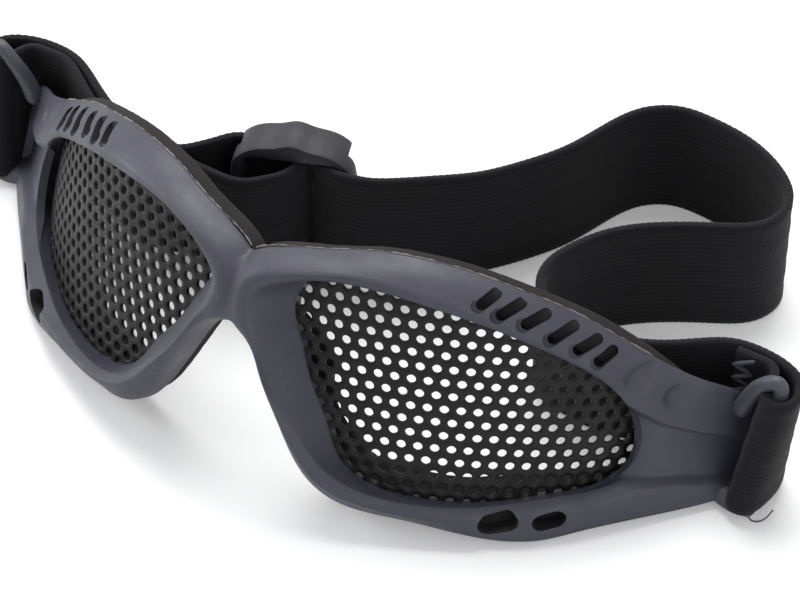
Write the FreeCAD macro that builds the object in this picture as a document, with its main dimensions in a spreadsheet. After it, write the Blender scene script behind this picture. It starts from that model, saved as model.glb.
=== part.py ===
import FreeCAD, Part
import math
import os

from FreeCAD import Placement, Rotation, Vector

# Steel mesh goggles standing on a flat surface with their strap folded behind them.
# Row frame: +Z up, the lenses look towards -Y, +X is the wearer's left.
# Frame and lenses are drawn upright in their own frame (x across, y depth, z height)
# and then lean back by recline_deg, resting on the lens rims and the temple feet.

SIZES = {
    # soft moulded frame
    "half_width": 82.0,
    "frame_drop": 2.3,
    "frame_rise": 48.4,
    "frame_depth": 8.5,
    "wall": 3.0,
    "wing_wall": 1.5,
    "rim_crest": 1.0,
    "rim_flare": 3.0,
    "wrap_radius": 117.0,
    "wrap_centre_x": -20.7,
    "wrap_centre_y": 90.3,
    "wing_start_x": 66.0,
    "recline_deg": 21.4,
    # recessed panel of each temple wing
    "panel_depth": 0.7,
    "panel_start_x": 70.5,
    "panel_low_z": 14.4,
    "panel_high_z": 23.0,
    # lens openings and seats
    "opening_edge_x": 4.1,
    "opening_width": 62.0,
    "opening_low_z": 3.8,
    "opening_height": 38.7,
    "nose_lip": 4.4,
    "seat_lip": 1.0,
    # brow slots, lower vents and dimples
    "slot_width": 2.9,
    "slot_length": 6.8,
    "slot_first_x": 40.0,
    "slot_first_z": 43.5,
    "slot_span_x": 19.3,
    "slot_fall_z": 6.0,
    "slot_sag_z": 1.4,
    "slot_dip_deg": 24.0,
    "vent_width": 4.4,
    "vent_length": 7.6,
    "vent_in_x": 50.4,
    "vent_in_z": 3.6,
    "vent_out_x": 58.0,
    "vent_out_z": 6.9,
    "vent_tilt_deg": 24.0,
    "dimple_radius": 2.6,
    "dimple_depth": 0.7,
    "dimple_first_x": 64.4,
    "dimple_first_z": 33.7,
    "dimple_step_x": 5.1,
    "dimple_step_z": 2.7,
    # perforated steel lenses
    "lens_radius": 75.0,
    "lens_centre_x": 4.0,
    "lens_centre_y": 59.2,
    "lens_sheet": 0.8,
    "lens_tuck": 1.2,
    "lens_play": 0.15,
    "hole_pitch": 3.0,
    "hole_radius": 0.88,
    "hole_turn_deg": 7.5,
    "hole_margin": 1.3,
    "right_hole_arc": 20.9,
    "right_hole_z": 30.5,
    "left_hole_arc": 15.4,
    "left_hole_z": 34.5,
    # foam seal glued to the back of the frame
    "foam_thickness": 4.5,
    "foam_gap": 0.3,
    "foam_inset": 0.6,
    # webbing
    "strap_width": 25.0,
    "strap_sheet": 1.5,
    "strap_play": 0.3,
    "strap_reach": 94.0,
    "strap_lift": 2.2,
    "split_x": 74.5,
    "split_gap": 0.4,
    "loop_gap": 0.15,
    # lugs at the temple ends
    "bar_radius": 1.4,
    "bar_low_x": 83.6,
    "bar_low_y": 27.6,
    "bar_high_x": 86.4,
    "bar_high_y": 32.6,
    "arm_radius": 1.3,
    "foot_height": 1.8,
    "foot_width": 4.2,
    "foot_root_x": 79.2,
    "foot_root_y": 28.6,
    # sliding adjuster
    "slider_x": -21.0,
    "slider_y": 40.0,
    "slider_turn_deg": 22.5,
    "slider_length": 24.0,
    "slider_height": 30.0,
    "slider_depth": 8.2,
    "slider_corner": 4.6,
    "slider_window_length": 18.8,
    "slider_window_height": 26.0,
    "slider_front_bar": 2.0,
    "slider_bar_length": 4.2,
    "slider_bar_depth": 2.2,
    "slider_dome_radius": 16.0,
    "slider_dome": 1.8,
    "slider_travel": 3.0,
    # sewn joints
    "tack_width": 3.6,
    "tack_height": 20.0,
    "tack_sheet": 0.4,
    "tack_gap": 0.1,
}

# Each station of the frame ring, from the bridge over the brow to the temple and back
# along the cheek: the edge of the opening (shares of its width and height), the outer
# edge (shares of the half width and of the whole frame height), how far the rim flares,
# the shoulder's share of the way to the outer edge, how deep the shoulder and the back
# edge lie and how far the back edge rises off the floor (shares of the frame depth),
# and how far the station belongs to the temple wing and to the nose.
RING_SHARES = [
    (0.000, 0.770, -0.035, 0.710, 0.00, 0.74, 0.20, 0.75, 0.00, 0.00, 1.00),
    (0.013, 0.842, -0.015, 0.830, 0.00, 0.74, 0.20, 0.70, 0.00, 0.00, 1.00),
    (0.074, 0.915, 0.043, 0.897, 0.00, 0.74, 0.20, 0.70, 0.00, 0.00, 0.50),
    (0.160, 0.970, 0.146, 0.941, 0.00, 0.74, 0.22, 0.70, 0.00, 0.00, 0.10),
    (0.256, 0.998, 0.244, 0.984, 0.00, 0.74, 0.25, 0.70, 0.00, 0.00, 0.00),
    (0.370, 0.998, 0.341, 1.000, 0.00, 0.74, 0.25, 0.70, 0.00, 0.00, 0.00),
    (0.482, 0.977, 0.439, 0.990, 0.00, 0.74, 0.25, 0.70, 0.00, 0.00, 0.00),
    (0.595, 0.946, 0.537, 0.955, 0.00, 0.74, 0.25, 0.70, 0.00, 0.00, 0.00),
    (0.708, 0.894, 0.634, 0.903, 0.00, 0.74, 0.25, 0.70, 0.00, 0.00, 0.00),
    (0.820, 0.822, 0.732, 0.822, 0.05, 0.74, 0.25, 0.62, 0.00, 0.00, 0.00),
    (0.910, 0.729, 0.829, 0.744, 0.10, 0.74, 0.15, 0.36, 0.00, 0.40, 0.00),
    (0.966, 0.612, 0.927, 0.684, 0.15, 0.74, 0.05, 0.06, 0.00, 1.00, 0.00),
    (0.995, 0.483, 0.994, 0.598, 0.20, 0.74, 0.00, -0.04, 0.00, 1.00, 0.00),
    (0.998, 0.354, 1.000, 0.420, 0.30, 0.85, -0.10, -0.08, 0.00, 1.00, 0.00),
    (0.966, 0.250, 0.996, 0.298, 0.55, 0.95, -0.28, -0.10, 0.12, 1.00, 0.00),
    (0.894, 0.170, 0.948, 0.231, 0.90, 1.00, -0.30, 0.10, 0.22, 0.60, 0.00),
    (0.797, 0.109, 0.805, 0.128, 1.00, 1.00, -0.24, 0.35, 0.24, 0.10, 0.00),
    (0.692, 0.047, 0.683, 0.049, 0.90, 1.00, -0.27, 0.55, 0.36, 0.00, 0.00),
    (0.579, 0.010, 0.561, 0.016, 0.60, 0.95, 0.10, 0.65, 0.24, 0.00, 0.00),
    (0.450, 0.000, 0.439, 0.002, 0.40, 0.90, 0.45, 0.75, 0.20, 0.00, 0.00),
    (0.337, 0.036, 0.315, 0.002, 0.30, 0.90, 0.45, 0.85, 0.10, 0.00, 0.10),
    (0.248, 0.129, 0.217, 0.085, 0.20, 0.85, 0.30, 0.95, 0.00, 0.00, 0.40),
    (0.169, 0.274, 0.150, 0.256, 0.15, 0.80, 0.20, 1.00, 0.00, 0.00, 0.80),
    (0.095, 0.419, 0.102, 0.416, 0.10, 0.74, 0.22, 1.00, 0.00, 0.00, 1.00),
    (0.044, 0.587, 0.045, 0.545, 0.05, 0.74, 0.22, 0.90, 0.00, 0.00, 1.00),
    (0.013, 0.685, -0.020, 0.594, 0.00, 0.74, 0.20, 0.80, 0.00, 0.00, 1.00),
]

# Share of the way from the opening to the outer edge at which the rim's crest lies.
CREST_SHARE = 0.25
# Share of the way from the back edge to the lens seat that the foam covers.
FOAM_COVER_SHARE = 0.45
# The same where the foam runs across a temple wing: its outer and inner edge.
FOAM_WING_SHARES = (0.45, 0.78)
# How much more than the frame's own rise the foam's rear edge rises off the floor.
FOAM_RISE_SHARE = 1.6
# Length of each brow slot as a share of the longest.
SLOT_LENGTH_SHARES = (0.62, 0.92, 1.0, 1.0, 0.92, 0.66)
# How deep the middle of each brow slot lies, as a share of the frame depth.
SLOT_DEPTH_SHARE = 0.42
# Size of each dimple as a share of the first.
DIMPLE_SHARES = (1.0, 0.8)

# Route of the strap from its cut end behind the right temple to the adjuster, seen from
# above: shares of the half width and of the reach, and the share of the full lift.
RIGHT_RUN_SHARES = [
    (0.904, 0.428, 1.0),
    (0.854, 0.412, 0.80),
    (0.782, 0.373, 0.48),
    (0.700, 0.340, 0.22),
    (0.610, 0.330, 0.08),
    (0.512, 0.340, 0.02),
    (0.439, 0.373, 0.0),
    (0.412, 0.438, 0.0),
    (0.425, 0.501, 0.0),
    (0.470, 0.580, 0.0),
    (0.550, 0.650, 0.0),
    (0.660, 0.712, 0.0),
    (0.745, 0.765, 0.0),
    (0.768, 0.835, 0.0),
    (0.725, 0.905, 0.0),
    (0.605, 0.970, 0.0),
    (0.487, 0.990, 0.0),
    (0.394, 0.985, 0.0),
    (0.325, 0.940, 0.0),
    (0.285, 0.860, 0.0),
    (0.249, 0.760, 0.0),
    (0.193, 0.668, 0.05),
    (0.133, 0.590, 0.20),
    (0.070, 0.537, 0.48),
    (0.000, 0.508, 0.85),
]

# The same from the adjuster to the cut end behind the left temple: the inner layer.
LEFT_RUN_SHARES = [
    (-0.434, 0.321, 0.9),
    (-0.478, 0.294, 0.7),
    (-0.543, 0.283, 0.5),
    (-0.622, 0.290, 0.3),
    (-0.707, 0.317, 0.3),
    (-0.787, 0.353, 0.5),
    (-0.856, 0.390, 0.8),
    (-0.904, 0.4085, 1.0),
]

# The outer layer, from behind the left temple back to the adjuster.
RETURN_SHARES = [
    (-0.904, 0.428, 1.0),
    (-0.854, 0.4135, 0.8),
    (-0.784, 0.380, 0.5),
    (-0.705, 0.344, 0.3),
    (-0.622, 0.3145, 0.3),
    (-0.543, 0.307, 0.5),
    (-0.489, 0.3185, 0.7),
    (-0.456, 0.3425, 0.9),
    (-0.432, 0.368, 1.0),
]

# Loop of webbing round a lug's bar, from the cut end of the outer layer round the bar
# and back behind the wing: steps from the bar's axis in bar radii at its low end.
LOOP_LOW_STEPS = [
    (-6.20, 9.00),
    (-2.60, 9.10),
    (0.20, 8.50),
    (1.65, 6.60),
    (2.15, 3.90),
    (1.95, 1.10),
    (1.10, -1.45),
    (-0.50, -1.95),
    (-1.75, -0.60),
    (-1.15, 1.70),
    (-0.42, 4.30),
    (-0.45, 6.30),
    (-1.30, 7.60),
    (-3.20, 7.85),
    (-6.20, 7.79),
]

# The same at the bar's high end.
LOOP_HIGH_STEPS = [
    (-8.20, 5.43),
    (-4.60, 5.55),
    (-1.70, 4.90),
    (0.55, 3.65),
    (1.60, 2.10),
    (1.90, 0.45),
    (1.05, -1.55),
    (-0.60, -1.85),
    (-1.85, -0.55),
    (-2.05, 0.90),
    (-2.30, 2.30),
    (-2.85, 3.45),
    (-3.80, 4.10),
    (-5.20, 4.25),
    (-8.20, 4.21),
]

# Top arm of a lug, from the wing to the bar: steps from the bar's high end in arm radii
# across and back, and the height as a share of the whole bar height.
ARM_SHARES = [
    (-5.90, 1.60, 0.66),
    (-4.60, 0.45, 0.80),
    (-3.30, -0.35, 0.93),
    (-1.60, -0.50, 1.03),
    (0.00, 0.00, 1.01),
]


def make_sheet():
    """Spreadsheet with one aliased cell for each driving size."""
    page = doc.addObject("Spreadsheet::Sheet", "sizes")
    for row, (name, value) in enumerate(SIZES.items(), start=1):
        page.set("A%d" % row, name)
        page.set("B%d" % row, str(value))
        page.setAlias("B%d" % row, name)
    return page


def cell(name):
    """Value of a named size."""
    return float(sheet.get(name))


def wrap_depth(x):
    """Depth of the frame's front at x: an arc, then a straight wing along its tangent."""
    arm = min(x, cell("wing_start_x")) - cell("wrap_centre_x")
    rise = math.sqrt(cell("wrap_radius") ** 2 - arm**2)
    beyond = max(0.0, x - cell("wing_start_x"))
    return cell("wrap_centre_y") - rise + beyond * arm / rise


def wrap_turn(x):
    """Angle by which the frame's front has turned back at x, in degrees."""
    arm = min(x, cell("wing_start_x")) - cell("wrap_centre_x")
    return math.degrees(math.asin(arm / cell("wrap_radius")))


def lens_depth(x):
    """Depth of the lens's front face at x."""
    arm = x - cell("lens_centre_x")
    return cell("lens_centre_y") - math.sqrt(cell("lens_radius") ** 2 - arm**2)


def closed_curve(points):
    """Closed smooth wire through one point for each station."""
    curve = Part.BSplineCurve()
    steps = [float(i) for i in range(len(points) + 1)]
    curve.interpolate(Points=points, PeriodicFlag=True, Parameters=steps)
    return Part.Wire([curve.toShape()])


def ring_rows():
    """The frame's stations in real sizes."""
    height = cell("frame_drop") + cell("frame_rise")
    rows = []
    for ax, az, cx, cz, flare, bend, front, back, rise, wing, nose in RING_SHARES:
        rows.append({
            "ax": cell("opening_edge_x") + ax * cell("opening_width"),
            "az": cell("opening_low_z") + az * cell("opening_height"),
            "cx": cx * cell("half_width"),
            "cz": cz * height - cell("frame_drop"),
            "crest": -cell("rim_crest") - flare * cell("rim_flare"),
            "bend": bend,
            "front": front * cell("frame_depth"),
            "back": back * cell("frame_depth"),
            "rise": rise,
            "wing": wing,
            "nose": nose,
        })
    return rows


def between(row, share, offset):
    """Point a share of the way from the opening to the outer edge, off the wrap."""
    x = row["ax"] + share * (row["cx"] - row["ax"])
    z = row["az"] + share * (row["cz"] - row["az"])
    return Vector(x, wrap_depth(x) + offset, z)


def seat_point(row, depth_step):
    """Point of the lens seat, depth_step behind the lens's front face."""
    x = row["ax"] + row["nose"] * cell("nose_lip")
    return Vector(x, lens_depth(x) + depth_step, row["az"])


def back_outer(row, inset=0.0):
    """Outer corner of the frame's back face, or a point inset from it."""
    span = math.hypot(row["cx"] - row["ax"], row["cz"] - row["az"])
    point = between(row, 1.0 - inset / span, row["back"])
    return point + Vector(0.0, 0.0, row["rise"] * cell("frame_depth"))


def back_inner(row):
    """Inner corner of the frame's back face, where the wall ends."""
    point = back_outer(row, (1.0 - row["wing"]) * cell("wall"))
    return point + Vector(0.0, row["wing"] * cell("wing_wall"), 0.0)


def seat_back(row):
    """Rear corner of the lens seat."""
    return seat_point(row, cell("lens_sheet") + cell("lens_play") + cell("seat_lip"))


def ring_solid(curves):
    """Closed ring whose skin runs straight from each closed curve to the next."""
    faces = []
    for first, second in zip(curves, curves[1:] + curves[:1]):
        faces += Part.makeLoft([first, second], False, True).Faces
    shell = Part.makeShell(faces)
    shell.sewShape()
    solid = Part.makeSolid(shell)
    if solid.Volume < 0.0:
        solid.reverse()
    return solid


def half_space():
    """Block that keeps the half on the +X side of the symmetry plane."""
    reach = 4.0 * cell("half_width")
    return Part.makeBox(reach, reach, reach, Vector(0.0, -reach / 2.0, -reach / 2.0))


def mirrored_pair(half):
    """A half cut at the symmetry plane, joined to its own mirror image."""
    kept = half.common(half_space())
    other = kept.mirror(Vector(0.0, 0.0, 0.0), Vector(1.0, 0.0, 0.0))
    return kept.fuse(other).removeSplitter()


def obround(width, length, height):
    """Rounded bar along x with its hollow direction along y, centred on the origin."""
    radius = width / 2.0
    straight = length - width
    top = Vector(0.0, 0.0, radius)
    right = Vector(straight / 2.0, 0.0, 0.0)
    far = Vector(straight / 2.0 + radius, 0.0, 0.0)
    edges = [
        Part.makeLine(top - right, top + right),
        Part.Arc(top + right, far, right - top).toShape(),
        Part.makeLine(right - top, -right - top),
        Part.Arc(-right - top, -far, top - right).toShape(),
    ]
    face = Part.Face(Part.Wire(edges))
    face.translate(Vector(0.0, -height / 2.0, 0.0))
    return face.extrude(Vector(0.0, height, 0.0))


def slot_cutters():
    """Six slots along the brow, each cut square to the wrapped front."""
    cutters = []
    count = len(SLOT_LENGTH_SHARES)
    for index, share in enumerate(SLOT_LENGTH_SHARES):
        along = index / (count - 1.0)
        x = cell("slot_first_x") + along * cell("slot_span_x")
        fall = along * cell("slot_fall_z") - along * (1.0 - along) * cell("slot_sag_z")
        bar = obround(cell("slot_width"), share * cell("slot_length"), cell("frame_depth") * 2.0)
        bar.rotate(Vector(), Vector(0.0, 1.0, 0.0), -90.0)
        bar.rotate(Vector(), Vector(1.0, 0.0, 0.0), -cell("slot_dip_deg"))
        bar.rotate(Vector(), Vector(0.0, 0.0, 1.0), wrap_turn(x))
        middle = cell("frame_depth") * SLOT_DEPTH_SHARE
        bar.translate(Vector(x, wrap_depth(x) + middle, cell("slot_first_z") - fall))
        cutters.append(bar)
    return cutters


def vent_cutters():
    """Two vents through the flared lower rim, towards the temple."""
    cutters = []
    for end in ("in", "out"):
        x = cell("vent_%s_x" % end)
        z = cell("vent_%s_z" % end)
        bar = obround(cell("vent_width"), cell("vent_length"), cell("frame_depth") * 4.0)
        bar.rotate(Vector(), Vector(0.0, 1.0, 0.0), -cell("vent_tilt_deg"))
        bar.rotate(Vector(), Vector(0.0, 0.0, 1.0), wrap_turn(x))
        bar.translate(Vector(x, wrap_depth(x), z))
        cutters.append(bar)
    return cutters


def dimple_cutters():
    """Two blind round dimples between the brow slots and the temple wing."""
    cutters = []
    for index, share in enumerate(DIMPLE_SHARES):
        x = cell("dimple_first_x") + index * cell("dimple_step_x")
        z = cell("dimple_first_z") - index * cell("dimple_step_z")
        turn = math.radians(wrap_turn(x))
        inward = Vector(-math.sin(turn), math.cos(turn), 0.0)
        start = Vector(x, wrap_depth(x), z) - inward * cell("dimple_depth")
        length = 3.0 * cell("dimple_depth")
        cutters.append(Part.makeCylinder(share * cell("dimple_radius"), length, start, inward))
    return cutters


def panel_cutter():
    """Shallow recessed panel across the temple wing."""
    x = (cell("panel_start_x") + cell("half_width")) / 2.0
    length = cell("half_width") * 0.5
    height = cell("panel_high_z") - cell("panel_low_z")
    block = Part.makeBox(length, cell("frame_depth"), height)
    block.translate(Vector(0.0, -cell("frame_depth") + cell("panel_depth"), 0.0))
    block.rotate(Vector(), Vector(0.0, 0.0, 1.0), wrap_turn(x))
    start = cell("panel_start_x")
    block.translate(Vector(start, wrap_depth(start), cell("panel_low_z")))
    return block


def lens_outline(grow):
    """Lens outline, grown by grow beyond the visible opening, in the plane y = 0."""
    rows = ring_rows()
    places = [seat_point(r, 0.0) for r in rows]
    flat = [Vector(p.x, 0.0, p.z) for p in places]
    points = []
    for index, point in enumerate(flat):
        ahead = flat[(index + 1) % len(flat)] - flat[index - 1]
        ahead.normalize()
        outward = Vector(-ahead.z, 0.0, ahead.x)
        points.append(point + outward * grow)
    return closed_curve(points)


def lens_band(grow, inner_step, outer_step):
    """Curved sheet between two depths of the lens cylinder, inside a grown outline."""
    face = Part.Face(lens_outline(grow))
    face.translate(Vector(0.0, -cell("lens_radius"), 0.0))
    prism = face.extrude(Vector(0.0, 2.0 * cell("lens_radius"), 0.0))
    base = Vector(cell("lens_centre_x"), cell("lens_centre_y"), -cell("half_width"))
    up = Vector(0.0, 0.0, 1.0)
    height = 2.0 * cell("half_width")
    outer = Part.makeCylinder(cell("lens_radius") + outer_step, height, base, up)
    inner = Part.makeCylinder(cell("lens_radius") - inner_step, height, base, up)
    front = Part.makeBox(height * 2.0, height, height)
    front.translate(Vector(-height, cell("lens_centre_y") - height, -cell("half_width")))
    return prism.common(outer.cut(inner)).common(front)


def lens_groove():
    """Space that each lens's edge needs inside the frame."""
    play = cell("lens_play")
    return lens_band(cell("lens_tuck") + play, cell("lens_sheet") + play, play)


def hole_cutters(arc, height):
    """Hexagonal pattern of round holes, each square to the curved sheet."""
    outline = Part.Face(lens_outline(-cell("hole_margin") - cell("hole_radius")))
    pitch = cell("hole_pitch")
    turn = math.radians(cell("hole_turn_deg"))
    middle = Vector(cell("lens_centre_x"), cell("lens_centre_y"), 0.0)
    count = int(cell("half_width") / pitch)
    cutters = []
    for i in range(-count, count + 1):
        for j in range(-count, count + 1):
            across = pitch * (i * math.cos(turn) - j * math.sin(turn + math.pi / 6.0))
            along = pitch * (i * math.sin(turn) + j * math.cos(turn + math.pi / 6.0))
            angle = (arc + across) / cell("lens_radius")
            if abs(angle) > math.pi / 3.0:
                continue
            out = Vector(math.sin(angle), -math.cos(angle), 0.0)
            spot = middle + out * cell("lens_radius")
            flat = Vector(spot.x, 0.0, height + along)
            if not outline.isInside(flat, 0.001, True):
                continue
            start = middle + out * (cell("lens_radius") - 2.0 * cell("lens_sheet"))
            start.z = height + along
            cutters.append(Part.makeCylinder(
                cell("hole_radius"), 3.0 * cell("lens_sheet"), start, out))
    return cutters


def leaned_back(shape, settle=0.0):
    """An upright shape leaned back by the recline and lifted until it stands."""
    leaned = shape.copy()
    leaned.rotate(Vector(), Vector(1.0, 0.0, 0.0), -cell("recline_deg"))
    leaned.translate(Vector(0.0, 0.0, settle))
    return leaned


def only_solid(shape):
    """The single solid that a boolean result holds."""
    solids = shape.Solids
    return solids[0] if len(solids) == 1 else shape


def lug():
    """Bar, foot and top arm that hold the strap's loop at the wearer's left temple."""
    top = cell("strap_lift") + cell("strap_width") + cell("strap_play")
    top += cell("arm_radius")
    low = Vector(cell("bar_low_x"), cell("bar_low_y"), 0.0)
    high = Vector(cell("bar_high_x"), cell("bar_high_y"), top)
    along = high - low
    along.normalize()
    bar = Part.makeCylinder(cell("bar_radius"), (high - low).Length, low, along)
    floor = half_space()
    floor.rotate(Vector(), Vector(0.0, 1.0, 0.0), -90.0)
    bar = bar.common(floor)
    root = Vector(cell("foot_root_x"), cell("foot_root_y"), 0.0)
    across = math.degrees(math.atan2(low.y - root.y, low.x - root.x))
    length = (low - root).Length + cell("foot_width")
    foot = obround(cell("foot_width"), length, cell("foot_height"))
    foot.rotate(Vector(), Vector(1.0, 0.0, 0.0), 90.0)
    foot.rotate(Vector(), Vector(0.0, 0.0, 1.0), across)
    foot.translate((low + root) * 0.5 + Vector(0.0, 0.0, cell("foot_height") / 2.0))
    points = []
    for x, y, z in ARM_SHARES:
        step = Vector(x, y, 0.0) * cell("arm_radius")
        points.append(Vector(high.x + step.x, high.y + step.y, z * top))
    curve = Part.BSplineCurve()
    curve.interpolate(points)
    path = Part.Wire([curve.toShape()])
    start = Part.Circle(points[0], curve.tangent(curve.FirstParameter)[0], cell("arm_radius"))
    arm = path.makePipeShell([Part.Wire([start.toShape()])], True, False)
    knob = Part.makeSphere(cell("bar_radius"), points[-1])
    return bar.fuse([foot, arm, knob])


def frame_shape():
    """The whole moulding, leaning back, with its lugs."""
    rows = ring_rows()
    lens_back = cell("lens_play")
    half = ring_solid([
        closed_curve([between(r, 0.0, 0.0) for r in rows]),
        closed_curve([between(r, CREST_SHARE, r["crest"]) for r in rows]),
        closed_curve([between(r, r["bend"], r["front"]) for r in rows]),
        closed_curve([back_outer(r) for r in rows]),
        closed_curve([back_inner(r) for r in rows]),
        closed_curve([seat_back(r) for r in rows]),
        closed_curve([seat_point(r, -lens_back) for r in rows]),
    ])
    cutters = slot_cutters() + vent_cutters() + dimple_cutters()
    cutters += [panel_cutter(), lens_groove()]
    half = half.cut(cutters).common(half_space())
    leaned = leaned_back(half)
    settle = -leaned.BoundBox.ZMin
    leaned.translate(Vector(0.0, 0.0, settle))
    low, high = loop_route()
    rise = Vector(0.0, 0.0, cell("loop_gap"))
    room = webbing(
        [p - rise for p in low],
        [p + rise for p in high],
        cell("strap_sheet") + 2.0 * cell("loop_gap"),
    )
    whole = leaned.fuse(lug()).cut(room)
    other = whole.mirror(Vector(), Vector(1.0, 0.0, 0.0))
    return only_solid(whole.fuse(other).removeSplitter()), settle


def foam_shape():
    """Die-cut foam seal that follows the back of the frame."""
    gap = cell("foam_gap")
    outer, ridge, inner, lifts = [], [], [], []
    for row in ring_rows():
        corner = back_inner(row)
        seat = seat_back(row)
        wing = row["wing"]
        near = back_outer(row, cell("foam_inset"))
        far = corner + (seat - corner) * FOAM_WING_SHARES[0]
        outer.append(near + (far - near) * wing)
        middle = sum(FOAM_WING_SHARES) / 2.0
        ridge.append(corner + (seat - corner) * middle * wing)
        cover = FOAM_COVER_SHARE + (FOAM_WING_SHARES[1] - FOAM_COVER_SHARE) * wing
        inner.append(corner + (seat - corner) * cover)
        lifts.append(Vector(0.0, 0.0, row["rise"] * FOAM_RISE_SHARE * cell("foam_thickness")))
    close = Vector(0.0, gap, 0.0)
    deep = Vector(0.0, gap + cell("foam_thickness"), 0.0)
    half = ring_solid([
        closed_curve([p + close for p in outer]),
        closed_curve([p + close for p in ridge]),
        closed_curve([p + close for p in inner]),
        closed_curve([p + deep for p in inner]),
        closed_curve([p + deep + up * 0.5 for p, up in zip(ridge, lifts)]),
        closed_curve([p + deep + up for p, up in zip(outer, lifts)]),
    ])
    return only_solid(mirrored_pair(half))


def route_steps(low, high):
    """Parameter of each route point: the root of the mean spacing, summed."""
    steps = [0.0]
    for index in range(1, len(low)):
        spacing = (low[index] - low[index - 1]).Length + (high[index] - high[index - 1]).Length
        steps.append(steps[-1] + math.sqrt(spacing / 2.0))
    return steps


def smooth_curve(points, steps):
    """Open smooth curve through the points at the given parameters."""
    curve = Part.BSplineCurve()
    curve.interpolate(Points=points, Parameters=steps)
    return curve


def shifted_points(points, steps, off):
    """Route points moved sideways by off, square to the route seen from above."""
    curve = smooth_curve(points, steps)
    moved = []
    for step in steps:
        ahead = curve.tangent(step)[0]
        side = Vector(-ahead.y, ahead.x, 0.0)
        side.normalize()
        moved.append(curve.value(step) + side * off)
    return moved


def span(curve, start, end):
    """Copy of the part of a curve between two parameters."""
    part = curve.copy()
    part.segment(start, end)
    return part


def ruled_face(first, second):
    """Face that runs straight between two curves of equal knots."""
    surface = Part.BSplineSurface()
    surface.buildFromPolesMultsKnots(
        [first.getPoles(), second.getPoles()],
        [2, 2],
        first.getMultiplicities(),
        [0.0, 1.0],
        first.getKnots(),
        False,
        False,
        1,
        first.Degree,
    )
    return surface.toShape()


def webbing(low, high, thick=None, off=0.0):
    """Standing ribbon between a low and a high edge route, moved sideways by off."""
    half = (cell("strap_sheet") if thick is None else thick) / 2.0
    steps = route_steps(low, high)
    corners = [
        shifted_points(low, steps, off + half),
        shifted_points(high, steps, off + half),
        shifted_points(high, steps, off - half),
        shifted_points(low, steps, off - half),
    ]
    curves = [smooth_curve(points, steps) for points in corners]
    faces = []
    for first, second in zip(curves, curves[1:] + curves[:1]):
        for start, end in zip(steps, steps[1:]):
            faces.append(ruled_face(span(first, start, end), span(second, start, end)))
    for index in (0, -1):
        left = Part.makeLine(corners[0][index], corners[1][index])
        right = Part.makeLine(corners[3][index], corners[2][index])
        faces.append(Part.makeRuledSurface(left, right))
    shell = Part.makeShell(faces)
    shell.sewShape()
    solid = Part.makeSolid(shell)
    if solid.Volume < 0.0:
        solid.reverse()
    return solid


def route(shares):
    """Low and high edge points of a route given as shares."""
    low, high = [], []
    for x, y, lift in shares:
        spot = Vector(x * cell("half_width"), y * cell("strap_reach"), 0.0)
        spot.z = lift * cell("strap_lift")
        low.append(spot)
        high.append(spot + Vector(0.0, 0.0, cell("strap_width")))
    return low, high


def slider_point(along, off, lift=1.0):
    """Point in the adjuster's own directions: along the strap and off it."""
    turn = math.radians(cell("slider_turn_deg"))
    x = cell("slider_x") + along * math.cos(turn) - off * math.sin(turn)
    y = cell("slider_y") + along * math.sin(turn) + off * math.cos(turn)
    return Vector(x, y, lift * cell("strap_lift"))


def slider_offsets():
    """Where the layers lie across the adjuster: strap, inner and outer return layer."""
    sheet_size = cell("strap_sheet")
    play = cell("strap_play")
    front = -cell("slider_depth") / 2.0 + cell("slider_front_bar")
    band = front + play + sheet_size / 2.0
    inner = band + sheet_size + play
    bar = cell("slider_depth") / 2.0
    outer = bar + play + sheet_size / 2.0
    return band, inner, outer


def band_shape():
    """The strap from the right temple through the adjuster to the left temple."""
    band, _, _ = slider_offsets()
    right_low, right_high = route(RIGHT_RUN_SHARES)
    left_low, left_high = route(LEFT_RUN_SHARES)
    half = cell("slider_length") / 2.0
    reach = half + cell("slider_travel") + cell("strap_play")
    through = [slider_point(reach, band), slider_point(half / 2.0, band)]
    through += [slider_point(-half / 2.0, band), slider_point(-half, band)]
    rise = Vector(0.0, 0.0, cell("strap_width"))
    low = right_low + through + left_low
    high = right_high + [p + rise for p in through] + left_high
    low, high = trimmed(low), trimmed(high)
    return webbing(low, high)


def return_route():
    """Edge routes of the outer layer, folded round the adjuster's centre bar and sewn to itself."""
    _, inner, outer = slider_offsets()
    low, high = route(RETURN_SHARES)
    length = cell("slider_length")
    bar = cell("slider_bar_length") / 2.0
    turn = bar + cell("slider_travel") + cell("strap_play") + cell("strap_sheet")
    middle = (inner + outer) / 2.0
    beside = inner + cell("strap_sheet") + cell("strap_play")
    through = [
        slider_point(-length * 0.50, beside),
        slider_point(-length * 0.34, beside + cell("strap_play")),
        slider_point(-length * 0.20, (beside + outer) / 2.0 + cell("strap_play")),
        slider_point(-bar, outer),
        slider_point(bar, outer),
        slider_point(turn, outer),
        slider_point(turn + (outer - inner) * 0.45, middle),
        slider_point(turn, inner + cell("strap_play")),
        slider_point(bar, inner),
        slider_point(-bar, inner),
        slider_point(-length * 0.42, inner),
    ]
    rise = Vector(0.0, 0.0, cell("strap_width"))
    return trimmed(low) + through, trimmed(high) + [p + rise for p in through]


def trimmed(points):
    """A route whose ends beyond the cut planes are drawn back to them."""
    limit = cell("split_x") - cell("split_gap")
    kept = []
    for point in points:
        if abs(point.x) > limit - cell("split_gap"):
            kept.append(Vector(math.copysign(limit, point.x), point.y, point.z))
        else:
            kept.append(point)
    return kept


def loop_points(steps, x, y, z):
    """Edge route of the loop round a bar."""
    points = []
    for across, back in steps:
        spot = Vector(x + across * cell("bar_radius"), y + back * cell("bar_radius"), z)
        points.append(spot)
    return points


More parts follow.
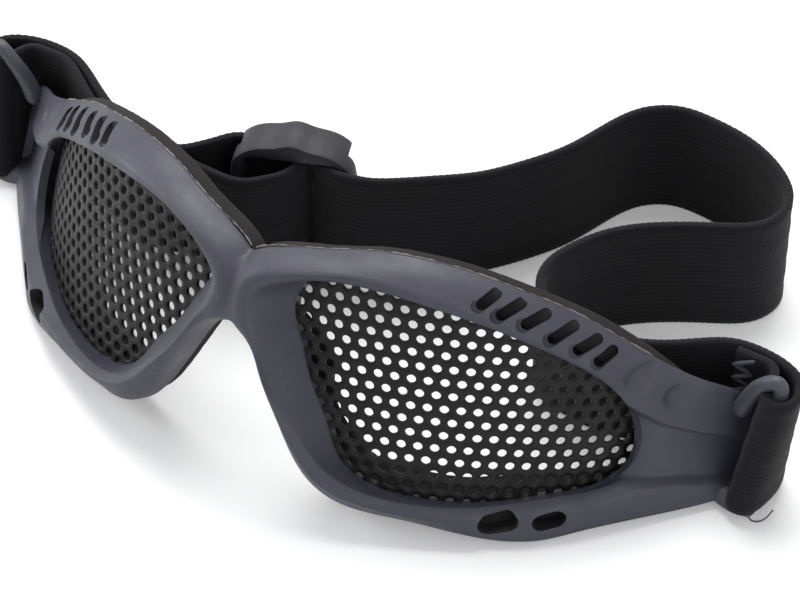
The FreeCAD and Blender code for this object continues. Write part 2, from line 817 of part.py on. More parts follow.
def loop_route():
    """Low and high edge routes of the loop round the lug at the left temple."""
    lift = cell("strap_lift")
    low = loop_points(LOOP_LOW_STEPS, cell("bar_low_x"), cell("bar_low_y"), lift)
    top = lift + cell("strap_width")
    high = loop_points(LOOP_HIGH_STEPS, cell("bar_high_x"), cell("bar_high_y"), top)
    for points in (low, high):
        points[0].x = cell("split_x")
        points[-1].x = cell("split_x")
    return low, high


def loop_shape():
    """Loop of webbing round the lug at the wearer's left temple."""
    low, high = loop_route()
    return webbing(low, high)


def tack_shape(low, high, first, last, side):
    """Thin sewn patch over a length of a route, on one of its two faces."""
    steps = route_steps(low, high)
    low_curve = smooth_curve(low, steps)
    high_curve = smooth_curve(high, steps)
    margin = (1.0 - cell("tack_height") / cell("strap_width")) / 2.0
    lower, upper = [], []
    for count in range(5):
        step = steps[-1] * (first + (last - first) * count / 4.0)
        bottom = low_curve.value(step)
        top = high_curve.value(step)
        lower.append(bottom + (top - bottom) * margin)
        upper.append(top - (top - bottom) * margin)
    off = (cell("strap_sheet") + cell("tack_sheet")) / 2.0 + cell("tack_gap")
    return webbing(lower, upper, cell("tack_sheet"), side * off)


def box(name, sizes_of, low):
    """Box primitive whose sizes and corner are bound to the sheet."""
    part = doc.addObject("Part::Box", name)
    for field, expression in zip(("Length", "Width", "Height"), sizes_of):
        part.setExpression(field, expression)
    for field, expression in zip("xyz", low):
        part.setExpression("Placement.Base." + field, expression)
    return part


def cut_of(name, base, tool):
    """Boolean difference of two document objects."""
    part = doc.addObject("Part::Cut", name)
    part.Base = base
    part.Tool = tool
    return part


def slider_object(shift):
    """Adjuster: rounded end bars and rails, a window, and a raised centre bar."""
    s = "sizes.slider_"
    blank = box(
        "slider_blank",
        (s + "length", s + "depth", s + "height"),
        ("-%slength / 2" % s, "-%sdepth / 2" % s, "0"),
    )
    doc.recompute()
    rounded = doc.addObject("Part::Fillet", "slider_rounded")
    rounded.Base = blank
    corners = []
    for number, edge in enumerate(blank.Shape.Edges, start=1):
        ahead = edge.Vertexes[1].Point - edge.Vertexes[0].Point
        if abs(ahead.y) > abs(ahead.x) + abs(ahead.z):
            corners.append((number, cell("slider_corner"), cell("slider_corner")))
    rounded.Edges = corners
    rail = "(%sheight - %swindow_height) / 2" % (s, s)
    window = box(
        "slider_window",
        (s + "window_length", "2 * %sdepth" % s, s + "window_height"),
        ("-%swindow_length / 2" % s, "-%sdepth" % s, rail),
    )
    recess = box(
        "slider_recess",
        ("2 * %slength" % s, "2 * %sdepth" % s, s + "window_height"),
        ("-%slength" % s, "-%sdepth / 2 + %sfront_bar" % (s, s), rail),
    )
    open_frame = cut_of("slider_open", cut_of("slider_framed", rounded, window), recess)
    bar = box(
        "slider_bar",
        (s + "bar_length", s + "bar_depth", s + "window_height + 2"),
        ("-%sbar_length / 2" % s, "%sdepth / 2 - %sbar_depth" % (s, s), rail + " - 1"),
    )
    dome = doc.addObject("Part::Cylinder", "slider_dome")
    dome.setExpression("Radius", s + "dome_radius")
    dome.setExpression("Height", s + "depth")
    dome.Placement = Placement(Vector(), Rotation(Vector(1.0, 0.0, 0.0), -90.0))
    dome.setExpression("Placement.Base.y", "-%sdepth / 2" % s)
    dome.setExpression(
        "Placement.Base.z", "%sheight + %sdome - %sdome_radius" % (s, s, s))
    cap = box(
        "slider_cap",
        (s + "length", s + "depth", s + "dome + 1"),
        ("-%slength / 2" % s, "-%sdepth / 2" % s, s + "height - 1"),
    )
    hump = doc.addObject("Part::MultiCommon", "slider_hump")
    hump.Shapes = [dome, cap]
    whole = doc.addObject("Part::MultiFuse", "strap_slider")
    whole.Shapes = [open_frame, bar, hump]
    whole.Label = "strap_slider"
    whole.Placement = Placement(
        Vector(cell("slider_x"), cell("slider_y") + shift, 0.0),
        Rotation(Vector(0.0, 0.0, 1.0), cell("slider_turn_deg")),
    )
    return whole


def feature(name, shape, shift):
    """Document object that holds a finished shape, moved to the row origin."""
    part = doc.addObject("Part::Feature", name)
    part.Shape = shape
    part.Label = name
    part.Placement = Placement(Vector(0.0, shift, 0.0), Rotation()).multiply(shape.Placement)
    return part


def lens_shape(arc, height):
    """One perforated steel lens, upright."""
    sheet_shape = lens_band(cell("lens_tuck"), cell("lens_sheet"), 0.0)
    return only_solid(sheet_shape.cut(hole_cutters(arc, height)))


def mirrored(shape):
    """Mirror image of a shape in the symmetry plane."""
    return only_solid(shape.mirror(Vector(), Vector(1.0, 0.0, 0.0)))


def build():
    """All sub-parts in the row frame, by name."""
    frame, settle = frame_shape()
    left_lens = lens_shape(cell("right_hole_arc"), cell("right_hole_z"))
    right_lens = mirrored(lens_shape(cell("left_hole_arc"), cell("left_hole_z")))
    loop_low, loop_high = loop_route()
    tail_low, tail_high = return_route()
    shapes = {
        "frame_moulding": frame,
        "mesh_lens_left": leaned_back(left_lens, settle),
        "mesh_lens_right": leaned_back(right_lens, settle),
        "foam_seal": leaned_back(foam_shape(), settle),
        "strap_loop_left": loop_shape(),
        "strap_loop_right": mirrored(loop_shape()),
        "loop_tack_left": tack_shape(loop_low, loop_high, 0.93, 0.99, 1.0),
        "strap_band": band_shape(),
        "strap_return": webbing(tail_low, tail_high),
        "return_tack": tack_shape(tail_low, tail_high, 0.94, 0.97, -1.0),
    }
    reach = [shape.optimalBoundingBox(False, False) for shape in shapes.values()]
    shift = -(min(b.YMin for b in reach) + max(b.YMax for b in reach)) / 2.0
    parts = [feature(name, shape, shift) for name, shape in shapes.items()]
    parts.append(slider_object(shift))
    return parts


doc = FreeCAD.newDocument("mesh_goggles")
sheet = make_sheet()
doc.recompute()
parts = build()
doc.recompute()
for part in parts:
    if "Invalid" in part.State or "Error" in part.State:
        raise RuntimeError(part.Label + " did not recompute")
    if part.Shape.isNull() or not part.Shape.isValid() or len(part.Shape.Solids) != 1:
        raise RuntimeError(part.Label + " is not one valid solid")
os.makedirs("parts", exist_ok=True)
for part in parts:
    part.Shape.exportStep("parts/%s.step" % part.Label)
    print(part.Label, round(part.Shape.Volume, 1), part.Shape.BoundBox)
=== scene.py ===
import logging
import math
from collections.abc import Sequence
from dataclasses import dataclass, field
from enum import Enum

import bmesh
import bpy
import numpy as np
from mathutils import Matrix, Vector


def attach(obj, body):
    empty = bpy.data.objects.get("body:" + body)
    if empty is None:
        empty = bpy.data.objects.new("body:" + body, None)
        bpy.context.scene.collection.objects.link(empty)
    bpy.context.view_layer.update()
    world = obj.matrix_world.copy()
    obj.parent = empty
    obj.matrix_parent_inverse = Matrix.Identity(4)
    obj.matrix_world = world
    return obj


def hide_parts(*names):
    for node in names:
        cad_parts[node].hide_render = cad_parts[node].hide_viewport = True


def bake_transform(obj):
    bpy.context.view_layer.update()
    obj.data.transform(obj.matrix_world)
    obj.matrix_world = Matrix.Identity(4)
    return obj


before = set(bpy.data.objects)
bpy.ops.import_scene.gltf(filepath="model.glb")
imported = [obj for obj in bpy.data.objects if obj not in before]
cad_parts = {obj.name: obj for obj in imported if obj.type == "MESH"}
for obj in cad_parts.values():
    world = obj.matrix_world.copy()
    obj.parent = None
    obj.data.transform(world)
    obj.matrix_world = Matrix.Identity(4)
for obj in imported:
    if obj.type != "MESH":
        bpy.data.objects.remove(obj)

LOG = logging.getLogger("goggles")
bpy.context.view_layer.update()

Array = np.ndarray
Mesh = bpy.types.Mesh
Piece = bpy.types.Object
Socket = bpy.types.NodeSocket
Colour = tuple[float, float, float, float]

# All shapes are worked out in millimetres and stored in metres.
METRE = 0.001
# The upright frame leans back by this angle and is set down by this height.
RECLINE = math.radians(21.4)
SETTLE = -0.131
# Shift in depth from the standing layout to the row frame.
SHIFT = -38.324
# Plan of the frame's front: an arc up to ARC_END, then a straight wing.
ARC_END, ARC_START, ARC_RADIUS, ARC_CENTRE = 66.0, 20.7, 117.0, 90.3
# Plan of the lens: the radius and the x and depth of the upright cylinder's axis.
LENS_RADIUS, LENS_X, LENS_Y = 75.0, 4.0, 59.2
# Depth of the rubber wall that holds the lens, behind the lens's front face.
SEAT_BACK, SEAT_FRONT = 1.95, -0.15
# The x flip of the two sides.
SIDES = (1.0, -1.0)


def leaned(points: Array) -> Array:
    """Lean upright points back and set them on the floor.

    Depth and height turn about the x axis: y' = y cos a + z sin a, z' = z cos a - y sin a.

    Args:
        points: Array of upright points in millimetres.

    Returns:
        Array of standing points in millimetres.
    """
    turned = np.array(points, float)
    y, z = points[..., 1], points[..., 2]
    turned[..., 1] = y * math.cos(RECLINE) + z * math.sin(RECLINE)
    turned[..., 2] = z * math.cos(RECLINE) - y * math.sin(RECLINE) + SETTLE
    return turned


def smooth_step(low: float, high: float, value: Array | float) -> Array:
    """Smooth rise from 0 at low to 1 at high, as 3t^2 - 2t^3."""
    share = np.clip((value - low) / (high - low), 0.0, 1.0)
    return share * share * (3.0 - 2.0 * share)


def unit(rows: Array) -> Array:
    """Vectors of an array (n, k) brought to length 1."""
    return rows / np.linalg.norm(rows, axis=1)[:, None]


def travel_along(path: Array) -> Array:
    """Distance walked along a path (n, k) at each of its points."""
    return np.concatenate([[0.0], np.cumsum(np.linalg.norm(np.diff(path, axis=0), axis=1))])


def spline(
    points: Array, count: int, closed: bool = False,
    knots: Array | None = None, spots: Array | None = None,
) -> Array:
    """Cubic spline through points, sampled evenly in its parameter.

    The second derivatives at the knots solve the usual tridiagonal system; each cell is
    then a cubic between its two knots.

    Args:
        points: Array (n, k) of the values passed through.
        count: Number of samples.
        closed: Whether the curve closes on itself.
        knots: Parameter of each point; whole numbers when left out.
        spots: Parameters to sample at, instead of count even ones.

    Returns:
        Array (count, k) of samples.
    """
    points = np.asarray(points, float)
    if closed:
        points = np.vstack([points, points[:1]])
    size = len(points)
    knots = np.arange(size, dtype=float) if knots is None else np.asarray(knots, float)
    gaps = np.diff(knots)
    slopes = np.diff(points, axis=0) / gaps[:, None]
    system = np.zeros((size, size))
    target = np.zeros((size, points.shape[1]))
    inner = np.arange(1, size - 1)
    system[inner, inner - 1] = gaps[:-1]
    system[inner, inner] = 2.0 * (gaps[:-1] + gaps[1:])
    system[inner, inner + 1] = gaps[1:]
    target[inner] = 6.0 * (slopes[1:] - slopes[:-1])
    if closed:
        system[0, [0, 1, -2]] = [2.0 * (gaps[0] + gaps[-1]), gaps[0], gaps[-1]]
        target[0] = 6.0 * (slopes[0] - slopes[-1])
        system[-1, [0, -1]] = [1.0, -1.0]
    else:
        system[0, 0] = system[-1, -1] = 1.0
    bends = np.linalg.solve(system, target)
    if spots is None:
        spots = np.linspace(knots[0], knots[-1], count, endpoint=not closed)
    spots = np.clip(spots, knots[0], knots[-1])
    cell = np.clip(np.searchsorted(knots, spots, side="right") - 1, 0, size - 2)
    gap = gaps[cell][:, None]
    left = (knots[cell + 1] - spots)[:, None]
    right = (spots - knots[cell])[:, None]
    value = (bends[cell] * left**3 + bends[cell + 1] * right**3) / (6.0 * gap)
    value += (points[cell] / gap - bends[cell] * gap / 6.0) * left
    value += (points[cell + 1] / gap - bends[cell + 1] * gap / 6.0) * right
    return value


def grid_faces(rows: int, columns: int, close_rows: bool = True) -> Array:
    """Quads of a grid of vertices whose last column joins the first.

    Args:
        rows: Number of rows.
        columns: Number of columns.
        close_rows: Whether the last row joins the first too.

    Returns:
        Array (n, 4) of vertex indices.
    """
    i, j = np.meshgrid(
        np.arange(rows if close_rows else rows - 1), np.arange(columns), indexing="ij")
    ahead, beside = (i + 1) % rows, (j + 1) % columns
    faces = np.stack([
        i * columns + j, ahead * columns + j, ahead * columns + beside, i * columns + beside,
    ], axis=-1)
    return faces.reshape(-1, 4)


@dataclass
class Shell:
    """Vertices and faces that grow into one mesh."""

    points: list[Array] = field(default_factory=list)
    faces: list[tuple[int, ...]] = field(default_factory=list)
    count: int = 0

    def add(self, points: Array, faces: Sequence) -> None:
        """Add a block of vertices and the faces over them.

        Args:
            points: Array whose last axis is x, y, z.
            faces: Vertex indices of each face, counted from the block's first vertex.
        """
        points = np.asarray(points, float).reshape(-1, 3)
        self.points.append(points)
        self.faces += [tuple(int(v) + self.count for v in face) for face in faces]
        self.count += len(points)

    def grid(self, block: Array, close_rows: bool = True) -> None:
        """Add a block (rows, columns, 3) of vertices as a grid of quads."""
        self.add(block, grid_faces(*block.shape[:2], close_rows))

    def tube(
        self, path: Array, radius: Array | float, sides: int = 14,
        reference: Sequence[float] = (0.0, 0.0, 1.0), squeeze: float = 1.0,
    ) -> None:
        """Add a round bar along a path, with domed ends.

        A ring at each path point turns in the plane square to the path; four smaller
        rings beyond each end shrink as cos of their own angle to close it.

        Args:
            path: Array (n, 3) of centre points.
            radius: Radius, or one for each point.
            sides: Vertices round the bar.
            reference: Direction that the bar never runs along.
            squeeze: Width across the reference direction as a share of the other.
        """
        path = np.asarray(path, float)
        radius = np.broadcast_to(np.asarray(radius, float), (len(path),))
        ahead = unit(np.gradient(path, axis=0))
        angle = np.linspace(0.0, math.pi / 2.0, 5)[1:]
        first = path[0] - ahead[0] * radius[0] * np.sin(angle[::-1, None])
        last = path[-1] + ahead[-1] * radius[-1] * np.sin(angle[:, None])
        shrink = np.maximum(np.cos(angle), 1e-4)
        path = np.vstack([first, path, last])
        radius = np.concatenate([radius[0] * shrink[::-1], radius, radius[-1] * shrink])
        ahead = np.vstack([np.tile(ahead[0], (4, 1)), ahead, np.tile(ahead[-1], (4, 1))])
        side = unit(np.cross(np.asarray(reference, float), ahead))
        rise = np.cross(ahead, side)
        turn = np.linspace(0.0, 2.0 * math.pi, sides, endpoint=False)
        ring = side[:, None] * np.cos(turn)[None, :, None] * squeeze
        ring = ring + rise[:, None] * np.sin(turn)[None, :, None]
        self.grid(path[:, None] + ring * radius[:, None, None], close_rows=False)
        base = self.count - len(path) * sides
        self.faces.append(tuple(range(base, base + sides))[::-1])
        self.faces.append(tuple(range(self.count - sides, self.count)))

    def mesh(self, name: str, mend: bool = True) -> Mesh:
        """Finished mesh in metres.

        Args:
            name: Name of the mesh.
            mend: Whether doubles are merged and faces turned outwards.

        Returns:
            The mesh.
        """
        data = bpy.data.meshes.new(name)
        data.from_pydata((np.vstack(self.points) * METRE).tolist(), [], self.faces)
        if mend:
            mend_mesh(data)
        data.update()
        return data


def mend_mesh(data: Mesh, distance: float = 2e-6) -> None:
    """Merge doubled vertices and turn all faces outwards.

    Args:
        data: Mesh that is changed.
        distance: Distance in metres within which vertices are one.
    """
    work = bmesh.new()
    work.from_mesh(data)
    bmesh.ops.remove_doubles(work, verts=work.verts, dist=distance)
    bmesh.ops.dissolve_degenerate(work, edges=work.edges, dist=distance / 4.0)
    bmesh.ops.recalc_face_normals(work, faces=work.faces)
    work.to_mesh(data)
    work.free()


def add_object(
    name: str, data: Mesh, material: bpy.types.Material | None = None,
    sharp_deg: float | None = None,
) -> Piece:
    """Object for a mesh, linked to the scene and shaded smooth up to an angle.

    Args:
        name: Name of the object.
        data: Its mesh.
        material: Material that replaces the mesh's own, if any.
        sharp_deg: Angle in degrees from which an edge stays sharp.

    Returns:
        The object.
    """
    thing = bpy.data.objects.new(name, data)
    bpy.context.scene.collection.objects.link(thing)
    data.polygons.foreach_set("use_smooth", np.ones(len(data.polygons), bool))
    if sharp_deg is not None:
        data.set_sharp_from_angle(angle=math.radians(sharp_deg))
    if material is not None:
        data.materials.clear()
        data.materials.append(material)
    return thing


def mesh_points(data: Mesh) -> Array:
    """Vertices of a mesh as an array (n, 3).

    Args:
        data: Mesh that is read.

    Returns:
        Array (n, 3), in metres.
    """
    points = np.empty(len(data.vertices) * 3)
    data.vertices.foreach_get("co", points)
    return points.reshape(-1, 3)


def shift_mesh(data: Mesh) -> None:
    """Move a standing mesh to the row frame."""
    data.transform(Matrix.Translation((0.0, SHIFT * METRE, 0.0)))


def carve(
    data: Mesh, cutter_data: Mesh, inside_material: bpy.types.Material | None = None,
) -> Mesh:
    """Mesh with the cutters taken away by an exact boolean.

    Args:
        data: Mesh that is cut.
        cutter_data: Mesh of the cutters, none of which overlaps another.
        inside_material: Material of the faces that the cutters leave, or the mesh's own.

    Returns:
        The cut mesh.
    """
    base = add_object("carve_base", data)
    tool = add_object("carve_tool", cutter_data, inside_material)
    step = base.modifiers.new("carve", "BOOLEAN")
    step.operation = "DIFFERENCE"
    step.solver = "EXACT"
    step.material_mode = "TRANSFER" if inside_material else "INDEX"
    step.use_self = False
    step.object = tool
    bpy.context.view_layer.update()
    graph = bpy.context.evaluated_depsgraph_get()
    result = bpy.data.meshes.new_from_object(base.evaluated_get(graph))
    bpy.data.objects.remove(base)
    bpy.data.objects.remove(tool)
    return result


def mirrored(data: Mesh, name: str, lean: bool = False) -> Mesh:
    """Half a mesh, cut at x = 0, with its mirror image welded to it.

    Args:
        data: Upright mesh of the half, which may reach past x = 0.
        name: Name of the new mesh.
        lean: Whether the points are leaned back first.

    Returns:
        The whole mesh, its faces with the material numbers of the half's.
    """
    work = bmesh.new()
    work.from_mesh(data)
    bmesh.ops.bisect_plane(
        work, geom=work.verts[:] + work.edges[:] + work.faces[:], dist=1e-6,
        plane_co=(0, 0, 0), plane_no=(-1, 0, 0), clear_outer=True)
    work.to_mesh(data)
    work.free()
    points = mesh_points(data) / METRE
    points[np.abs(points[:, 0]) < 0.01, 0] = 0.0
    if lean:
        points = leaned(points)
    faces = [tuple(p.vertices) for p in data.polygons]
    finish = [p.material_index for p in data.polygons]
    body = Shell()
    body.add(points, faces)
    body.add(points * (-1.0, 1.0, 1.0), [face[::-1] for face in faces])
    whole = body.mesh(name, mend=False)
    whole.polygons.foreach_set("material_index", finish + finish)
    mend_mesh(whole)
    return whole


# Finishes


class Graph:
    """Small helper that adds shader nodes to one material."""

    def __init__(self, name: str) -> None:
        """Make the material and find its main shader.

        Args:
            name: Name of the material.
        """
        self.material = bpy.data.materials.new(name)
        self.material.use_nodes = True
        self.tree = self.material.node_tree
        self.shader = self.tree.nodes["Principled BSDF"]

    def feed(self, socket: Socket, value: Socket | float | Colour) -> None:
        """Link a socket to another, or set its value.

        Args:
            socket: Input that is fed.
            value: Output to link, or the value to set.
        """
        if isinstance(value, Socket):
            self.tree.links.new(value, socket)
        else:
            socket.default_value = value

    def add(self, kind: str, inputs: dict | None = None, **settings: str) -> bpy.types.Node:
        """Add a node.

        Args:
            kind: Blender's name of the node's type.
            inputs: What feeds each input, by name or number.
            **settings: Properties of the node.

        Returns:
            The node.
        """
        node = self.tree.nodes.new(kind)
        for key, value in settings.items():
            setattr(node, key, value)
        for key, value in (inputs or {}).items():
            self.feed(node.inputs[key], value)
        return node

    def coords(self, kind: str = "Object") -> Socket:
        """Socket with texture coordinates."""
        return self.add("ShaderNodeTexCoord").outputs[kind]

    def noise(self, scale: float, detail: float = 4.0, rough: float = 0.55) -> Socket:
        """Noise value at a scale in waves for each metre."""
        return self.add("ShaderNodeTexNoise", {
            "Vector": self.coords(), "Scale": scale, "Detail": detail, "Roughness": rough,
        }).outputs["Fac"]

    def ramp(
        self, value: Socket, low: float, high: float, start: float = 0.0, end: float = 1.0,
    ) -> Socket:
        """Value mapped from start and end to low and high, held at the ends."""
        return self.add("ShaderNodeMapRange", {
            "Value": value, "From Min": start, "From Max": end,
            "To Min": low, "To Max": high}).outputs["Result"]

    def math(self, operation: str, first: Socket, second: Socket | float = 0.0) -> Socket:
        """Arithmetic on two values."""
        return self.add("ShaderNodeMath", {0: first, 1: second}, operation=operation).outputs[0]

    def mix(self, factor: Socket, first: Socket | Colour, second: Socket | Colour) -> Socket:
        """Mix of two colours.

        Args:
            factor: Share of the second colour.
            first: Colour at 0.
            second: Colour at 1.

        Returns:
            Socket with the mixed colour.
        """
        node = self.add("ShaderNodeMix", data_type="RGBA")
        for key, kind, value in (
            ("Factor", "VALUE", factor), ("A", "RGBA", first), ("B", "RGBA", second),
        ):
            self.feed(next(s for s in node.inputs if s.name == key and s.type == kind), value)
        return next(s for s in node.outputs if s.type == "RGBA")

    def bump(
        self, height: Socket, strength: float, distance: float, normal: Socket | None = None,
    ) -> Socket:
        """Normal shifted by a height value.

        Args:
            height: Height of the surface.
            strength: Share of the effect.
            distance: Height in metres that 1 stands for.
            normal: Normal that is shifted, or the surface's own.

        Returns:
            Socket with the normal.
        """
        inputs = {"Height": height, "Strength": strength, "Distance": distance}
        if normal is not None:
            inputs["Normal"] = normal
        return self.add("ShaderNodeBump", inputs).outputs["Normal"]

    def set(self, **values: Socket | float | Colour) -> None:
        """Set or link inputs of the main shader by name."""
        for key, value in values.items():
            self.feed(self.shader.inputs[key.replace("_", " ")], value)


def linear(red: int, green: int, blue: int) -> Colour:
    """Linear colour from screen values of 0 to 255.

    Args:
        red: Screen value of red.
        green: Screen value of green.
        blue: Screen value of blue.

    Returns:
        Linear red, green and blue, and 1.
    """
    parts = [c / 255.0 for c in (red, green, blue)]
    parts = [p / 12.92 if p <= 0.04045 else ((p + 0.055) / 1.055) ** 2.4 for p in parts]
    return (*parts, 1.0)


@dataclass(frozen=True)
class RubberFinish:
    """Satin moulded rubber with dusty mottling."""

    name: str
    base: Colour
    dusty: Colour
    roughness: float = 0.5
    dust: Colour = linear(150, 150, 158)
    dust_share: float = 0.35

    def material(self) -> bpy.types.Material:
        """Build the shader: broad clouds, dust specks, and fine and broad bumps.

        Returns:
            The material.
        """
        g = Graph(self.name)
        cloud = g.ramp(g.noise(45.0, 5.0, 0.6), 0.0, 1.0, 0.35, 0.7)
        fine = g.noise(900.0, 3.0, 0.6)
        speck = g.ramp(g.noise(2600.0, 2.0, 0.5), 0.0, 1.0, 0.70, 0.80)
        colour = g.mix(cloud, self.base, self.dusty)
        colour = g.mix(g.math("MULTIPLY", speck, self.dust_share), colour, self.dust)
        rough = g.ramp(
            g.noise(140.0, 4.0), self.roughness - 0.06, self.roughness + 0.1, 0.3, 0.7)
        normal = g.bump(fine, 0.25, 0.0001)
        normal = g.bump(g.noise(160.0, 2.0), 0.25, 0.0004, normal)
        g.set(Base_Color=colour, Roughness=rough, Normal=normal, Specular_IOR_Level=0.5)
        return g.material


@dataclass(frozen=True)
class CoatedSteelFinish:
    """Perforated steel with a thin matt black coat, paler where the coat is thin."""

    name: str
    base: Colour
    wear_and_shade_patches: Colour
    gloss: float = 0.25

    def material(self) -> bpy.types.Material:
        """Build the shader: small clouds in colour and roughness, and a fine grain.

        Returns:
            The material.
        """
        g = Graph(self.name)
        cloud = g.ramp(g.noise(240.0, 4.0), 0.0, 1.0, 0.45, 0.75)
        colour = g.mix(cloud, self.base, self.wear_and_shade_patches)
        rough = g.ramp(g.noise(500.0, 3.0), 0.38, 0.6, 0.3, 0.7)
        normal = g.bump(g.noise(1500.0, 2.0), 0.2, 0.0001)
        g.set(Base_Color=colour, Roughness=rough, Normal=normal, Specular_IOR_Level=self.gloss)
        return g.material


@dataclass(frozen=True)
class FoamFinish:
    """Open-celled grey foam."""

    name: str
    base: Colour
    pore_shade: Colour
    cells: float = 2600.0

    def material(self) -> bpy.types.Material:
        """Build the shader: cells, deeper at their middles, where painted shade darkens them.

        Returns:
            The material.
        """
        g = Graph(self.name)
        cells = g.add("ShaderNodeTexVoronoi", {"Vector": g.coords(), "Scale": self.cells})
        depth = g.ramp(cells.outputs["Distance"], 0.0, 1.0, 0.1, 0.6)
        cloud = g.ramp(g.noise(300.0, 4.0), 0.0, 1.0, 0.3, 0.7)
        # Painted shade: the cells' middles, where the bump is deepest, take the darker colour.
        colour = g.mix(depth, self.pore_shade, self.base)
        colour = g.mix(g.math("MULTIPLY", cloud, 0.6), colour, self.base)
        normal = g.bump(depth, 0.35, 0.00015)
        g.set(Base_Color=colour, Roughness=0.95, Normal=normal, Specular_IOR_Level=0.15)
        return g.material


@dataclass(frozen=True)
class WebbingFinish:
    """Elastic webbing with fine lengthwise ribs and cross threads.

    The first texture axis runs along the strap and the second round it, both in
    millimetres.
    """

    name: str
    base: Colour
    high: Colour
    rib: float = 0.95
    cross: float = 0.8

    def material(self) -> bpy.types.Material:
        """Build the shader: sine ribs, sine threads that sway from rib to rib, fuzz, and painted
        shade that darkens the weave's hollows.

        Returns:
            The material.
        """
        g = Graph(self.name)
        parts = g.add("ShaderNodeSeparateXYZ", {"Vector": g.coords("UV")})
        along = g.math("MULTIPLY", parts.outputs["X"], 2.0 * math.pi / self.cross)
        across = g.math("MULTIPLY", parts.outputs["Y"], 2.0 * math.pi / self.rib)
        ribs = g.math("SINE", across)
        sway = g.math("MULTIPLY", g.math("SINE", g.math("MULTIPLY", across, 0.5)), 1.6)
        threads = g.math("SINE", g.math("ADD", along, sway))
        weave = g.math(
            "ADD", g.math("MULTIPLY", ribs, 0.55), g.math("MULTIPLY", threads, 0.35))
        # Painted shade: the colour follows the weave's height, darker in its hollows and lighter
        # on the raised ribs and threads, stronger in some patches than in others.
        level = g.ramp(weave, 0.0, 1.0, -0.9, 0.9)
        wear_and_shade_patches = g.ramp(g.noise(60.0, 3.0), 0.3, 1.0, 0.3, 0.7)
        colour = g.mix(g.math("MULTIPLY", level, wear_and_shade_patches), self.base, self.high)
        normal = g.bump(level, 0.35, 0.00018)
        normal = g.bump(g.noise(2500.0, 3.0, 0.6), 0.3, 0.0001, normal)
        g.set(Base_Color=colour, Roughness=0.85, Normal=normal)
        g.set(Specular_IOR_Level=0.25, Sheen_Weight=0.05)
        return g.material


@dataclass(frozen=True)
class PlasticFinish:
    """Moulded plastic with a faint grain."""

    name: str
    base: Colour
    high: Colour
    roughness: float = 0.45

    def material(self) -> bpy.types.Material:
        """Build the shader: soft clouds in colour and roughness, and a fine grain.

        Returns:
            The material.
        """
        g = Graph(self.name)
        cloud = g.ramp(g.noise(120.0, 4.0), 0.0, 1.0, 0.35, 0.7)
        colour = g.mix(cloud, self.base, self.high)
        rough = g.ramp(
            g.noise(300.0, 3.0), self.roughness - 0.06, self.roughness + 0.1, 0.3, 0.7)
        normal = g.bump(g.noise(1800.0, 2.0), 0.2, 0.0001)
        g.set(Base_Color=colour, Roughness=rough, Normal=normal)
        return g.material


class Finish(Enum):
    """Finishes of the pieces."""

    RUBBER = RubberFinish("frame_rubber", linear(50, 49, 62), linear(61, 60, 74), 0.52)
    # Painted shade: near-black rubber on the cut walls of the slots and vents, standing for the
    # shade inside them.
    POCKET = RubberFinish("pocket_painted_shade", linear(20, 20, 23), linear(27, 27, 31), 0.8)
    LUG = RubberFinish("lug_rubber", linear(56, 56, 67), linear(71, 70, 81))
    # Painted highlight: pale rubber for a thin line along the frame's top back edge, where the
    # edge catches the light.
    FLASH = RubberFinish("edge_painted_highlight", linear(104, 102, 100), linear(132, 129, 124), 0.6)
    STEEL = CoatedSteelFinish("coated_steel", linear(12, 12, 13), linear(24, 24, 26))
    FOAM = FoamFinish("seal_foam", linear(46, 44, 44), linear(32, 31, 31))
    WEBBING = WebbingFinish("elastic_webbing", linear(9, 9, 12), linear(17, 17, 23))
    THREAD = PlasticFinish("stitch_thread", linear(36, 36, 46), linear(50, 50, 61), 0.7)
    ADJUSTER = PlasticFinish("adjuster_plastic", linear(24, 23, 31), linear(32, 31, 40), 0.6)

    def material(self) -> bpy.types.Material:
        """Shader of this finish, built once."""
        done = bpy.data.materials.get(self.value.name)
        return done or self.value.material()


# Frame moulding


def wrap_depth(x: Array) -> Array:
    """Depth of the frame's front at x: an arc, then a straight wing along its tangent.

    Args:
        x: Distance from the symmetry plane.

    Returns:
        Depth at each x.
    """
    arm = np.minimum(x, ARC_END) + ARC_START
    rise = np.sqrt(ARC_RADIUS**2 - arm**2)
    return ARC_CENTRE - rise + np.maximum(0.0, x - ARC_END) * arm / rise


def wrap_turn(x: Array | float) -> Array:
    """Angle by which the frame's front has turned back at x."""
    return np.arcsin((np.minimum(x, ARC_END) + ARC_START) / ARC_RADIUS)


def lens_depth(x: Array) -> Array:
    """Depth of the lens's front face at x."""
    return LENS_Y - np.sqrt(LENS_RADIUS**2 - (x - LENS_X) ** 2)


